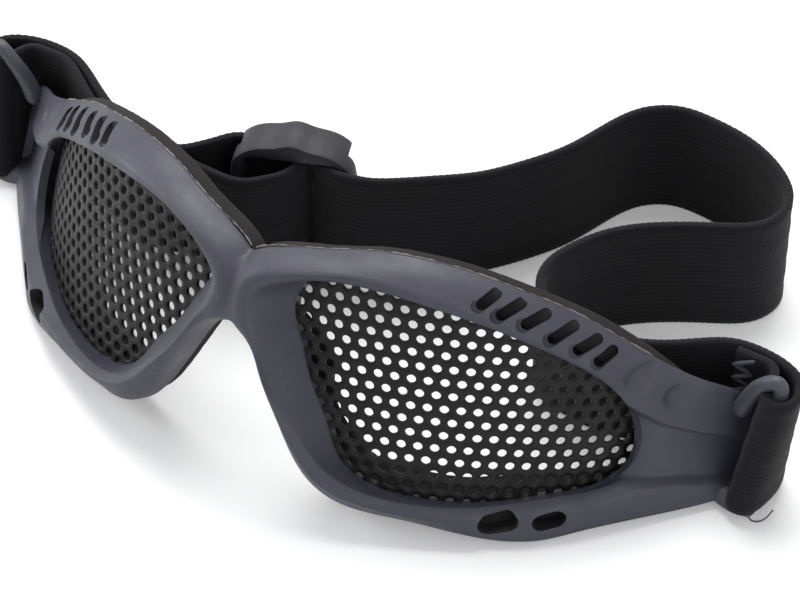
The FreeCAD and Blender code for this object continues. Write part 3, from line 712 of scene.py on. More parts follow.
# Stations of the frame ring: opening edge x, z; outer edge x, z; flare; shoulder's share
# of the way out; depth of shoulder, depth and rise of back edge; wing; nose.
STATIONS = np.array([
    (0.000, 0.770, -0.035, 0.710, 0.00, 0.74, 0.20, 0.75, 0.00, 0.00, 1.00),
    (0.013, 0.842, -0.015, 0.830, 0.00, 0.74, 0.20, 0.70, 0.00, 0.00, 1.00),
    (0.074, 0.915, 0.043, 0.897, 0.00, 0.74, 0.20, 0.70, 0.00, 0.00, 0.50),
    (0.160, 0.970, 0.146, 0.941, 0.00, 0.74, 0.22, 0.70, 0.00, 0.00, 0.10),
    (0.256, 0.998, 0.244, 0.984, 0.00, 0.74, 0.25, 0.70, 0.00, 0.00, 0.00),
    (0.370, 0.998, 0.341, 1.000, 0.00, 0.74, 0.25, 0.70, 0.00, 0.00, 0.00),
    (0.482, 0.977, 0.439, 0.990, 0.00, 0.74, 0.25, 0.70, 0.00, 0.00, 0.00),
    (0.595, 0.946, 0.537, 0.955, 0.00, 0.74, 0.25, 0.70, 0.00, 0.00, 0.00),
    (0.708, 0.894, 0.634, 0.903, 0.00, 0.74, 0.25, 0.70, 0.00, 0.00, 0.00),
    (0.820, 0.822, 0.732, 0.822, 0.05, 0.74, 0.25, 0.62, 0.00, 0.00, 0.00),
    (0.910, 0.729, 0.829, 0.744, 0.10, 0.74, 0.15, 0.36, 0.00, 0.40, 0.00),
    (0.966, 0.612, 0.927, 0.684, 0.15, 0.74, 0.05, 0.06, 0.00, 1.00, 0.00),
    (0.995, 0.483, 0.994, 0.598, 0.20, 0.74, 0.00, -0.04, 0.00, 1.00, 0.00),
    (0.998, 0.354, 1.000, 0.420, 0.30, 0.85, -0.10, -0.08, 0.00, 1.00, 0.00),
    (0.966, 0.250, 0.996, 0.298, 0.55, 0.95, -0.28, -0.10, 0.12, 1.00, 0.00),
    (0.894, 0.170, 0.948, 0.231, 0.90, 1.00, -0.30, 0.10, 0.22, 0.60, 0.00),
    (0.797, 0.109, 0.805, 0.128, 1.00, 1.00, -0.24, 0.35, 0.24, 0.10, 0.00),
    (0.692, 0.047, 0.683, 0.049, 0.90, 1.00, -0.27, 0.55, 0.36, 0.00, 0.00),
    (0.579, 0.010, 0.561, 0.016, 0.60, 0.95, 0.10, 0.65, 0.24, 0.00, 0.00),
    (0.450, 0.000, 0.439, 0.002, 0.40, 0.90, 0.45, 0.75, 0.20, 0.00, 0.00),
    (0.337, 0.036, 0.315, 0.002, 0.30, 0.90, 0.45, 0.85, 0.10, 0.00, 0.10),
    (0.248, 0.129, 0.217, 0.085, 0.20, 0.85, 0.30, 0.95, 0.00, 0.00, 0.40),
    (0.169, 0.274, 0.150, 0.256, 0.15, 0.80, 0.20, 1.00, 0.00, 0.00, 0.80),
    (0.095, 0.419, 0.102, 0.416, 0.10, 0.74, 0.22, 1.00, 0.00, 0.00, 1.00),
    (0.044, 0.587, 0.045, 0.545, 0.05, 0.74, 0.22, 0.90, 0.00, 0.00, 1.00),
    (0.013, 0.685, -0.020, 0.594, 0.00, 0.74, 0.20, 0.80, 0.00, 0.00, 1.00),
])


@dataclass
class Ring:
    """Rails that run round one eye, worked out at the stations."""

    opening_x: tuple[float, float] = (4.1, 62.0)
    opening_z: tuple[float, float] = (3.8, 38.7)
    outer_width: float = 82.0
    outer_z: tuple[float, float] = (50.7, 2.3)
    crest_height: float = 1.0
    flare_height: float = 3.0
    depth: float = 8.5
    wall: float = 3.0
    wing_wall: float = 1.5
    nose_wall: float = 4.4

    def __post_init__(self) -> None:
        """Scale the stations' shares by the sizes."""
        ax, az, cx, cz, flare, self.bend, front, back, self.rise, self.wing, self.nose = (
            STATIONS.T)
        self.ax = self.opening_x[0] + ax * self.opening_x[1]
        self.az = self.opening_z[0] + az * self.opening_z[1]
        self.cx = cx * self.outer_width
        self.cz = cz * self.outer_z[0] - self.outer_z[1]
        self.crest = -self.crest_height - flare * self.flare_height
        self.front = front * self.depth
        self.back = back * self.depth

    def between(self, share: Array | float, offset: Array | float) -> Array:
        """Points a share of the way out from the opening, off the wrapped front.

        Args:
            share: 0 at the opening's edge, 1 at the outer edge.
            offset: Depth behind the wrapped front.

        Returns:
            Array (stations, 3).
        """
        x = self.ax + share * (self.cx - self.ax)
        z = self.az + share * (self.cz - self.az)
        return np.stack([x, wrap_depth(x) + offset, z], axis=-1)

    def back_outer(self, inset: Array | float = 0.0) -> Array:
        """Outer corner of the back face, or a point inset from it.

        Args:
            inset: Distance in from the outer edge.

        Returns:
            Array (stations, 3).
        """
        span = np.hypot(self.cx - self.ax, self.cz - self.az)
        points = self.between(1.0 - inset / span, self.back)
        points[:, 2] += self.rise * self.depth
        return points

    def back_inner(self) -> Array:
        """Inner corner of the back face, where the wall ends.

        Returns:
            Array (stations, 3).
        """
        points = self.back_outer((1.0 - self.wing) * self.wall)
        points[:, 1] += self.wing * self.wing_wall
        return points

    def seat(self, step: float) -> Array:
        """Points of the lens seat, a step behind the lens's front face."""
        x = self.ax + self.nose * self.nose_wall
        return np.stack([x, lens_depth(x) + step, self.az], axis=-1)


def rounded_section(
    rails: Sequence[Array], radii: Sequence[float], steps: Sequence[int], count: int,
    arc: int = 4,
) -> tuple[Array, list[int]]:
    """Grid of a closed section that runs along closed rails, its corners rounded.

    Each corner is a quadratic arc between points a radius away from it; even steps
    join one arc to the next.

    Args:
        rails: Arrays (stations, 3), one for each corner.
        radii: Radius of each corner.
        steps: Number of points between each corner and the next.
        count: Number of samples along the rails.
        arc: Number of steps in each corner.

    Returns:
        Array (count, m, 3) and the column at which each corner's arc starts.
    """
    lines = [spline(rail, count, closed=True) for rail in rails]
    size = len(lines)
    starts, ends = [], []
    for index, here in enumerate(lines):
        for other, keep in ((lines[index - 1], starts), (lines[(index + 1) % size], ends)):
            away = other - here
            length = np.linalg.norm(away, axis=1)[:, None]
            keep.append(here + away / length * np.minimum(radii[index], 0.45 * length))
    columns, marks = [], []
    for index, here in enumerate(lines):
        marks.append(len(columns))
        for share in np.linspace(0.0, 1.0, arc + 1):
            near = starts[index] * (1.0 - share) + here * share
            far = here * (1.0 - share) + ends[index] * share
            columns.append(near * (1.0 - share) + far * share)
        target = starts[(index + 1) % size]
        for share in np.linspace(0.0, 1.0, steps[index] + 2)[1:-1]:
            columns.append(ends[index] * (1.0 - share) + target * share)
    return np.stack(columns, axis=1), marks


def obround_block(
    width: float, length: float, depth: tuple[float, float], direction: Array, normal: Array,
    centre: Array, arc: int = 10,
) -> tuple[Array, list[tuple[int, ...]]]:
    """Points and faces of a rounded bar used as a cutter.

    The outline is two half circles joined by straight sides, carried along the normal.

    Args:
        width: Full width.
        length: Full length.
        depth: Two distances along the normal that the bar spans.
        direction: Long direction.
        normal: Cutting direction.
        centre: Middle of the bar.
        arc: Steps in each rounded end.

    Returns:
        Array of points and list of faces.
    """
    turn = np.linspace(-math.pi / 2.0, math.pi / 2.0, arc + 1)
    straight = (length - width) / 2.0
    cap = np.stack([straight + np.cos(turn) * width / 2.0, np.sin(turn) * width / 2.0], -1)
    outline = np.vstack([cap, -cap])
    direction = np.asarray(direction, float) / np.linalg.norm(direction)
    normal = normal - direction * (normal @ direction)
    normal /= np.linalg.norm(normal)
    side = np.cross(normal, direction)
    flat = np.asarray(centre) + outline[:, :1] * direction + outline[:, 1:] * side
    block = np.stack([flat + normal * depth[0], flat + normal * depth[1]])
    size = len(outline)
    faces = [tuple(f) for f in grid_faces(2, size, close_rows=False)]
    faces += [tuple(range(size)), tuple(range(2 * size - 1, size - 1, -1))]
    return block.reshape(-1, 3), faces


@dataclass
class FrameMoulding:
    """Soft moulded frame: rims, bridge, wings, slots, vents, dimples and lugs."""

    samples: int = 460
    corner_radii: tuple = (0.35, 1.3, 2.4, 0.7, 0.5, 0.3, 0.15)
    corner_steps: tuple = (3, 44, 10, 3, 6, 2, 3)
    crest_share: float = 0.25
    slot_width: float = 2.15
    slot_depth: float = 3.1
    slot_climb: float = 0.55
    slot_reach: float = 6.0
    vent_depth: float = 4.0
    vent_reach: float = 8.0
    rim_depth: float = 0.2
    rim_grow: float = 0.5
    rim_drop: float = 0.10
    rim_aside: float = 0.22
    panel_depth: float = 1.75
    crease_depth: float = 0.7
    band_swell: float = 0.35
    dimple_depth: float = 0.55
    # Centres of the upper and lower rounded end of each brow slot.
    slots: tuple = (
        ((41.6, -8.2, 46.1), (40.2, -9.2, 44.0)),
        ((45.5, -5.7, 45.2), (43.3, -7.1, 42.7)),
        ((49.4, -2.9, 44.0), (47.2, -4.5, 41.8)),
        ((53.7, 0.5, 42.4), (51.4, -1.4, 39.8)),
        ((57.4, 3.7, 40.5), (55.2, 1.7, 38.3)),
        ((59.8, 6.0, 38.5), (58.4, 4.5, 36.5)),
    )
    # Centres of the outer and inner end of each lower vent, and its width.
    vents: tuple = (
        ((52.6, -4.1, 4.6), (49.7, -6.0, 3.3), 3.7),
        ((59.0, 1.5, 6.2), (57.0, 0.1, 5.3), 3.7),
    )
    # Centre x, z and radius of each dimple.
    dimples: tuple = ((64.4, 33.7, 3.0), (69.7, 30.9, 2.5))
    # Lower edge of the brow band, upper edge of the wing's ledge, and the crease below it.
    band_edge: tuple = ((59.4, 31.9), (64.0, 28.6), (68.7, 26.2), (74.4, 24.3), (82.5, 23.4))
    ledge_edge: tuple = ((59.0, 9.5), (66.0, 12.6), (74.2, 13.8), (82.5, 14.2))
    crease: tuple = ((58.0, 3.2), (63.9, 5.4), (77.2, 10.9), (82.5, 12.2))
    # Lug: its bent bar from the wing over the top and down, its foot, and their radii.
    lug_bar: tuple = (
        (78.8, 33.6, 18.6), (80.3, 33.2, 22.6), (82.0, 32.4, 26.3), (84.0, 32.2, 28.6),
        (85.7, 32.4, 28.9), (86.3, 32.4, 27.6), (86.1, 32.1, 25.6), (85.6, 31.2, 21.0),
        (84.9, 29.9, 14.0), (84.2, 28.7, 7.0), (83.6, 27.6, 1.5))
    lug_foot: tuple = ((77.6, 29.0, 2.1), (80.0, 27.9, 1.9), (82.4, 27.3, 1.7), (84.6, 27.6, 1.5))
    bar_radii: tuple = ((0.0, 0.25, 1.0), (1.8, 1.4, 1.4))
    foot_radii: tuple = (2.0, 1.4)
    foot_squeeze: float = 1.35

    def wing_relief(self, points: Array) -> Array:
        """Depth pressed into the front: the wing's panel, the crease and the dimples.

        The panel is a product of smooth steps below the brow band, above the ledge and
        away from the nose; the crease drops the strip under its own line; each dimple is
        a smooth step inside its radius.

        Args:
            points: Array of upright points on the front.

        Returns:
            Depth at each point.
        """
        x, z = points[..., 0], points[..., 2]
        band = np.interp(x, *zip(*self.band_edge))
        ledge = np.interp(x, *zip(*self.ledge_edge))
        crease = np.interp(x, *zip(*self.crease))
        reach = smooth_step(54.0, 63.0, x)
        panel = smooth_step(0.0, 1.7, band - z) * smooth_step(-0.4, 1.6, z - ledge)
        under = smooth_step(0.1, 1.0, crease - z) * smooth_step(56.0, 64.0, x)
        swell = smooth_step(-5.0, 0.0, band - z) * smooth_step(0.5, 0.0, band - z)
        depth = self.panel_depth * panel * reach + self.crease_depth * under
        depth = depth - self.band_swell * swell * reach
        for across, up, radius in self.dimples:
            away = np.hypot((x - across) / math.cos(float(wrap_turn(across))), z - up)
            depth = depth + self.dimple_depth * smooth_step(radius, radius * 0.6, away)
        return depth

    def shell(self) -> Mesh:
        """Mesh of the closed ring on the +X side, before cutting, upright.

        Returns:
            The mesh.
        """
        ring = Ring()
        rails = [
            ring.between(0.0, 0.0), ring.between(self.crest_share, ring.crest),
            ring.between(ring.bend, ring.front), ring.back_outer(), ring.back_inner(),
            ring.seat(SEAT_BACK), ring.seat(SEAT_FRONT)]
        grid, marks = rounded_section(rails, self.corner_radii, self.corner_steps, self.samples)
        # The relief starts on the opening's rounded edge and fades out at the back edge.
        front = slice(marks[0] + 3, marks[3])
        face = grid[:, front]
        turn = wrap_turn(face[..., 0])
        inward = np.stack([-np.sin(turn), np.cos(turn), np.zeros_like(turn)], -1)
        fade = np.ones(face.shape[1])
        fade[-3:] = (0.75, 0.5, 0.25)
        grid[:, front] = face + inward * (self.wing_relief(face) * fade)[..., None]
        body = Shell()
        body.grid(grid)
        return body.mesh("frame_half")

    def cutters(self, first: int) -> Mesh:
        """Mesh of every second slot and vent, from the one named by its number.

        Args:
            first: Number of the first one, 0 or 1.

        Returns:
            The mesh.
        """
        body = Shell()
        rows = [
            (top, low, self.slot_width, (-self.slot_depth, self.slot_reach), self.slot_climb)
            for top, low in self.slots[first::2]]
        rows += [
            (far, near, width, (-self.vent_depth, self.vent_reach), 0.0)
            for far, near, width in self.vents[first::2]]
        for head, tail, width, depth, climb in rows:
            head, tail = np.array(head), np.array(tail)
            centre = (head + tail) / 2.0
            turn = float(wrap_turn(centre[0]))
            normal = np.array([math.sin(turn), -math.cos(turn), climb])
            length = np.linalg.norm(head - tail) + width
            body.add(*obround_block(width, length, depth, head - tail, normal, centre))
        return body.mesh("frame_cutters")

    def rims(self, first: int) -> Mesh:
        """Mesh of every second slot's shallow rim, from the one named by its number.

        Args:
            first: Number of the first one, 0 or 1.

        Returns:
            The mesh.
        """
        body = Shell()
        width = self.slot_width + self.rim_grow
        for top, low in self.slots[first::2]:
            top, low = np.array(top), np.array(low)
            turn = float(wrap_turn(low[0]))
            beside = np.array([math.cos(turn), math.sin(turn), 0.0])
            centre = (top + low) / 2.0 + (low - top) * self.rim_drop - beside * self.rim_aside
            normal = np.array([math.sin(turn), -math.cos(turn), self.slot_climb])
            length = np.linalg.norm(top - low) + width
            body.add(*obround_block(
                width, length, (-self.rim_depth, self.slot_reach), top - low, normal, centre))
        return body.mesh("frame_rims")

    def whole(self) -> Mesh:
        """Mesh of both halves, cut, welded at the symmetry plane and eased there.

        Returns:
            The mesh, leaned back.
        """
        data = self.shell()
        data.materials.append(Finish.RUBBER.material())
        for first in (0, 1):
            data = carve(data, self.rims(first))
        # The cut walls of the slots and vents take the pocket finish, painted shade that darkens
        # their insides.
        for first in (0, 1):
            data = carve(data, self.cutters(first), Finish.POCKET.material())
        return self.eased(mirrored(data, "frame_whole"))

    def eased(self, data: Mesh, rounds: int = 26, reach: float = 9.0) -> Mesh:
        """Smooth the bridge and lean the frame back.

        In each round every vertex near x = 0 moves towards its neighbours' mean by half
        the way, and by less further out.

        Args:
            data: Upright mesh that is changed.
            rounds: Number of rounds.
            reach: Distance from x = 0 at which the smoothing ends.

        Returns:
            The mesh.
        """
        points = mesh_points(data)
        edges = np.empty(len(data.edges) * 2, int)
        data.edges.foreach_get("vertices", edges)
        edges = edges.reshape(-1, 2)
        counts = np.bincount(edges.ravel(), minlength=len(points))[:, None]
        weight = 0.5 * smooth_step(reach, reach * 0.35, np.abs(points[:, :1]) / METRE)
        for _ in range(rounds):
            total = np.zeros_like(points)
            np.add.at(total, edges[:, 0], points[edges[:, 1]])
            np.add.at(total, edges[:, 1], points[edges[:, 0]])
            points += weight * (total / counts - points)
        data.vertices.foreach_set("co", (leaned(points / METRE) * METRE).ravel())
        data.update()
        return data

    def lugs(self) -> Mesh:
        """Foot and bent bar at both temple ends: out of the wing, over the top and down.

        Returns:
            The mesh.
        """
        body = Shell()
        radius = np.interp(np.linspace(0.0, 1.0, 90), *self.bar_radii)
        foot_radius = np.linspace(*self.foot_radii, 24)
        for side in SIDES:
            flip = np.array([side, 1.0, 1.0])
            body.tube(spline(self.lug_bar, 90) * flip, radius, 18, (0.1, 1.0, -0.2))
            body.tube(
                spline(self.lug_foot, 24) * flip, foot_radius, 18, (0.0, 0.0, 1.0),
                self.foot_squeeze)
        data = body.mesh("lugs")
        shift_mesh(data)
        return data

    def painted_highlight_line(self) -> Mesh:
        """Mesh of the thin pale line along the top back edge, a painted highlight broken here and
        there.

        Its radius sways as a sum of three sines along the edge.

        Returns:
            The mesh.
        """
        edge = spline(Ring().back_outer(0.12), 900, closed=True)[:330]
        edge = edge[edge[:, 0] > 0.6]
        steps = np.arange(len(edge))
        wave = np.sin(steps * 0.31) + np.sin(steps * 0.117 + 1.0) + np.sin(steps * 0.73 + 2.0)
        radius = 0.11 + 0.05 * np.clip(wave, -1.6, 2.0)
        edge[:, 1] -= 0.12
        body = Shell()
        for side in SIDES:
            body.tube(leaned(edge * (side, 1.0, 1.0)), radius, 6, (0.2, 0.9, 0.4))
        data = body.mesh("painted_highlight")
        shift_mesh(data)
        return data

    def build(self) -> list[Piece]:
        """Build, dress and place the frame.

        Returns:
            The pieces that were built.
        """
        data = self.whole()
        shift_mesh(data)
        data.materials.append(Finish.RUBBER.material())
        data.materials.append(Finish.POCKET.material())
        body = add_object("frame_moulding_look", data, None, 42.0)
        lugs = add_object("frame_lugs", self.lugs(), Finish.LUG.material(), 50.0)
        # The pale tube along the top back edge is the edge's painted highlight.
        painted_highlight = add_object("frame_painted_highlight_line", self.painted_highlight_line(), Finish.FLASH.material())
        for thing in (body, lugs, painted_highlight):
            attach(thing, "goggles")
        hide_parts("frame_moulding")
        return [body, lugs, painted_highlight]


# Lenses


def inside(points: Array, outline: Array) -> Array:
    """Whether each point lies in a closed outline, by counting crossings.

    Args:
        points: Array (n, 2).
        outline: Array (m, 2) of the outline's points in order.

    Returns:
        Boolean array (n,).
    """
    x, y = points[:, :1], points[:, 1:]
    x0, y0 = outline[None, :, 0], outline[None, :, 1]
    x1, y1 = np.roll(x0, -1, axis=1), np.roll(y0, -1, axis=1)
    straddle = (y0 > y) != (y1 > y)
    gap = np.where(np.abs(y1 - y0) < 1e-12, 1e-12, y1 - y0)
    left = x < (x1 - x0) * (y - y0) / gap + x0
    return (straddle & left).sum(1) % 2 == 1


@dataclass
class MeshLens:
    """Perforated steel sheet bent round an upright cylinder.

    The sheet is worked out unrolled, as arc length and height. along and across are the
    steps from hole to hole, and origin is the centre of one hole.
    """

    node: str
    side: float
    along: tuple[float, float]
    across: tuple[float, float]
    origin: tuple[float, float]
    hole: float = 0.86
    sheet: float = 0.8
    bevel: float = 0.09
    tuck: float = 1.3
    cell_reach: float = 1.9
    parts: int = 4

    def outline(self) -> Array:
        """Closed outline of the sheet, tucked into the rubber all round.

        Returns:
            Array (600, 2) of arc length and height.
        """
        seat = spline(Ring().seat(0.0), 600, closed=True)
        arc = LENS_RADIUS * np.arcsin((seat[:, 0] - LENS_X) / LENS_RADIUS)
        flat = np.stack([arc, seat[:, 2]], -1)
        ahead = unit(np.roll(flat, -3, axis=0) - np.roll(flat, 3, axis=0))
        return flat + np.stack([-ahead[:, 1], ahead[:, 0]], -1) * self.tuck

    def cells(self, outline: Array) -> Array:
        """Centres of all holes whose cell touches the outline's inside.

        Args:
            outline: Closed outline of the sheet.

        Returns:
            Array (n, 2) of arc length and height.
        """
        count = np.arange(-40, 41)
        i, j = np.meshgrid(count, count)
        a, b = np.array(self.along), np.array(self.across)
        spots = i.reshape(-1, 1) * a + j.reshape(-1, 1) * b + self.origin
        low, high = outline.min(0) - 3.0, outline.max(0) + 3.0
        spots = spots[np.all((spots > low) & (spots < high), axis=1)]
        gap = np.linalg.norm(spots[:, None] - outline[None], axis=2).min(1)
        return spots[inside(spots, outline) | (gap < self.cell_reach)]

    def rings(self) -> tuple[Array, Array]:
        """Rings round a hole's centre: its six-sided cell and the unit circle in it.

        Returns:
            Two arrays (6 * parts, 2) of offsets from the centre.
        """
        a, b = np.array(self.along), np.array(self.across)
        if a[0] * b[1] - a[1] * b[0] < 0.0:
            b = -b
        if a @ b < 0.0:
            b = b + a
        near = [a, b, b - a, -a, -b, a - b]
        corners = np.array([(near[k] + near[(k + 1) % 6]) / 3.0 for k in range(6)])
        steps = np.arange(self.parts) / self.parts
        ahead = np.roll(corners, -1, axis=0)
        edge = corners[:, None] + (ahead - corners)[:, None] * steps[None, :, None]
        edge = edge.reshape(-1, 2)
        return edge, unit(edge)

    def clamped(self, flat: Array, outline: Array) -> Array:
        """Points outside the outline drawn to its nearest point.

        Args:
            flat: Array (n, 2) of arc length and height.
            outline: Closed outline of the sheet.

        Returns:
            Array (n, 2), the points inside as they were.
        """
        outside = ~inside(flat, outline)
        if outside.any():
            gaps = np.linalg.norm(flat[outside][:, None] - outline[None], axis=2)
            flat = flat.copy()
            flat[outside] = outline[gaps.argmin(1)]
        return flat

    def close(self, data: Mesh) -> None:
        """Merge the cells, drop collapsed faces and close the sheet's outer edge.

        Args:
            data: Mesh that is changed.
        """
        work = bmesh.new()
        work.from_mesh(data)
        bmesh.ops.remove_doubles(work, verts=work.verts, dist=1e-5)
        bmesh.ops.dissolve_degenerate(work, edges=work.edges, dist=1e-6)
        bmesh.ops.delete(
            work, geom=[f for f in work.faces if f.calc_area() < 1e-11], context="FACES_ONLY")
        loose = [e for e in work.edges if len(e.link_faces) == 1]
        bmesh.ops.holes_fill(work, edges=loose, sides=8)
        bmesh.ops.recalc_face_normals(work, faces=work.faces)
        work.to_mesh(data)
        work.free()
        data.update()

    def build(self) -> list[Piece]:
        """Build, dress and place the lens.

        Each cell is a stack of rings: its edge, the hole's bevel and wall, and its edge
        again on the back face. Arc length s bends to x = LENS_X + r sin(s / LENS_RADIUS).

        Returns:
            The pieces that were built.
        """
        outline = self.outline()
        spots = self.cells(outline)
        edge, circle = self.rings()
        wide, hole = circle * (self.hole + self.bevel), circle * self.hole
        layers = (
            (edge, 0.0), (wide, 0.0), (hole, self.bevel),
            (hole, self.sheet - self.bevel), (wide, self.sheet), (edge, self.sheet))
        blocks = []
        for offset, depth in layers:
            flat = spots[:, None] + offset[None]
            flat = self.clamped(flat.reshape(-1, 2), outline).reshape(flat.shape)
            angle = flat[..., 0] / LENS_RADIUS
            radius = LENS_RADIUS - depth
            blocks.append(np.stack([
                LENS_X + radius * np.sin(angle), LENS_Y - radius * np.cos(angle),
                flat[..., 1]], -1))
        grid = np.stack(blocks, axis=1)
        size = grid.shape[2]
        faces = grid_faces(len(layers), size, close_rows=False)
        starts = np.arange(len(spots))[:, None, None] * len(layers) * size
        body = Shell()
        body.add(
            leaned(grid.reshape(-1, 3) * (self.side, 1.0, 1.0)),
            (faces[None] + starts).reshape(-1, 4))
        data = body.mesh(self.node + "_look", mend=False)
        self.close(data)
        shift_mesh(data)
        thing = add_object(self.node + "_look", data, Finish.STEEL.material(), 50.0)
        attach(thing, "goggles")
        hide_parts(self.node)
        return [thing]


# Foam seal


@dataclass
class FoamSeal:
    """Soft seal glued to the frame's back."""

    samples: int = 300
    thickness: float = 4.5
    gap: float = 0.3
    swelling: float = 4.0
    unevenness: float = 0.012
    corner_radii: tuple = (0.4, 0.2, 0.4, 1.2, 0.8, 1.2)
    corner_steps: tuple = (2, 2, 5, 3, 3, 6)
    # Shares of the way from the frame's inner back corner to the lens seat.
    outer_share: float = 0.45
    ridge_share: float = 0.615
    inner_shares: tuple = (0.45, 0.33)

    def rails(self) -> list[Array]:
        """Corners of the section at the stations, three by the frame and three behind.

        Below the eye and at both its corners the foam swells into the opening, by a
        product of smooth steps in x and z.

        Returns:
            Six arrays (stations, 3).
        """
        ring = Ring()
        corner = ring.back_inner()
        across = ring.seat(SEAT_BACK) - corner
        wing = ring.wing[:, None]
        near = ring.back_outer(0.6)
        outer = near + (corner + across * self.outer_share - near) * wing
        ridge = corner + across * self.ridge_share * wing
        inner = corner + across * (self.inner_shares[0] + self.inner_shares[1] * wing)
        up = np.zeros_like(corner)
        up[:, 2] = ring.rise * 1.6 * self.thickness
        close = np.array([0.0, self.gap, 0.0])
        deep = np.array([0.0, self.gap + self.thickness, 0.0])
        swollen = np.maximum(smooth_step(20.0, 9.0, ring.az), smooth_step(54.0, 63.0, ring.ax))
        swollen = swollen * smooth_step(34.0, 26.0, ring.az)
        swollen = swollen * (1.0 + 0.5 * smooth_step(36.0, 56.0, ring.ax))
        towards = unit(np.stack([ring.ax - ring.cx, 0.0 * ring.ax, ring.az - ring.cz], -1))
        nose = smooth_step(0.3, 0.8, towards[:, 0]) * smooth_step(40.0, 32.0, ring.az)
        swollen = np.maximum(swollen, 0.9 * nose)
        return [
            outer + close, ridge + close, inner + close,
            inner + deep + towards * (self.swelling * swollen)[:, None],
            ridge + deep + up * 0.5, outer + deep + up]

    def build(self) -> list[Piece]:
        """Build, dress and place the seal; its skin is uneven by products of sines.

        Returns:
            The pieces that were built.
        """
        grid, _ = rounded_section(
            self.rails(), self.corner_radii, self.corner_steps, self.samples)
        i, j = np.meshgrid(*map(np.arange, grid.shape[:2]), indexing="ij")
        swell = np.sin(i * 0.61 + j) * np.sin(i * 0.23 + 2.0 * j)
        swell = swell + 0.6 * np.sin(i * 1.7 + j * 0.9)
        middle = grid.mean(1, keepdims=True)
        grid = grid + (grid - middle) * (self.unevenness * swell)[..., None]
        body = Shell()
        body.grid(grid)
        data = mirrored(body.mesh("foam_half"), "foam_seal_look", lean=True)
        shift_mesh(data)
        thing = add_object("foam_seal_look", data, Finish.FOAM.material(), 60.0)
        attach(thing, "goggles")
        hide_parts("foam_seal")
        return [thing]


# Strap

# Runs of the strap's lower edge as shares of the strap's width, depth and lift.
RIGHT_RUN = (
    (0.854, 0.412, 0.80), (0.782, 0.373, 0.48), (0.700, 0.340, 0.22), (0.610, 0.330, 0.08),
    (0.512, 0.340, 0.02), (0.439, 0.373, 0.0), (0.412, 0.438, 0.0), (0.425, 0.501, 0.0),
    (0.470, 0.580, 0.0), (0.550, 0.650, 0.0), (0.660, 0.712, 0.0), (0.745, 0.765, 0.0),
    (0.768, 0.835, 0.0), (0.725, 0.905, 0.0), (0.605, 0.970, 0.0), (0.487, 0.990, 0.0),
    (0.394, 0.985, 0.0), (0.325, 0.940, 0.0), (0.285, 0.860, 0.0), (0.249, 0.760, 0.0),
    (0.193, 0.668, 0.05), (0.133, 0.590, 0.20), (0.065, 0.527, 0.48),
)
LEFT_RUN = (
    (-0.478, 0.290, 0.7), (-0.543, 0.281, 0.5), (-0.622, 0.290, 0.3), (-0.707, 0.317, 0.3),
    (-0.787, 0.353, 0.5), (-0.856, 0.390, 0.8),
)
RETURN_RUN = (
    (-0.854, 0.4135, 0.8), (-0.784, 0.380, 0.5), (-0.705, 0.344, 0.3),
    (-0.622, 0.3145, 0.3), (-0.543, 0.307, 0.5), (-0.489, 0.3185, 0.7),
    (-0.456, 0.3425, 0.9), (-0.432, 0.368, 1.0),
)
LOOP_LOW = (
    (-6.20, 9.00), (-2.60, 9.10), (0.20, 8.50), (1.65, 6.60), (2.15, 3.90), (1.95, 1.10),
    (1.10, -1.45), (-0.50, -1.95), (-1.75, -0.60), (-1.15, 1.70), (-0.42, 4.30),
    (-0.45, 6.30), (-1.30, 7.60), (-3.20, 7.85), (-6.20, 7.79),
)
LOOP_HIGH = (
    (-8.20, 5.43), (-4.60, 5.55), (-1.70, 4.90), (0.55, 3.65), (1.60, 2.10), (1.90, 0.45),
    (1.05, -1.55), (-0.60, -1.85), (-1.85, -0.55), (-2.05, 0.90), (-2.30, 2.30),
    (-2.85, 3.45), (-3.80, 4.10), (-5.20, 4.25), (-8.20, 4.21),
)


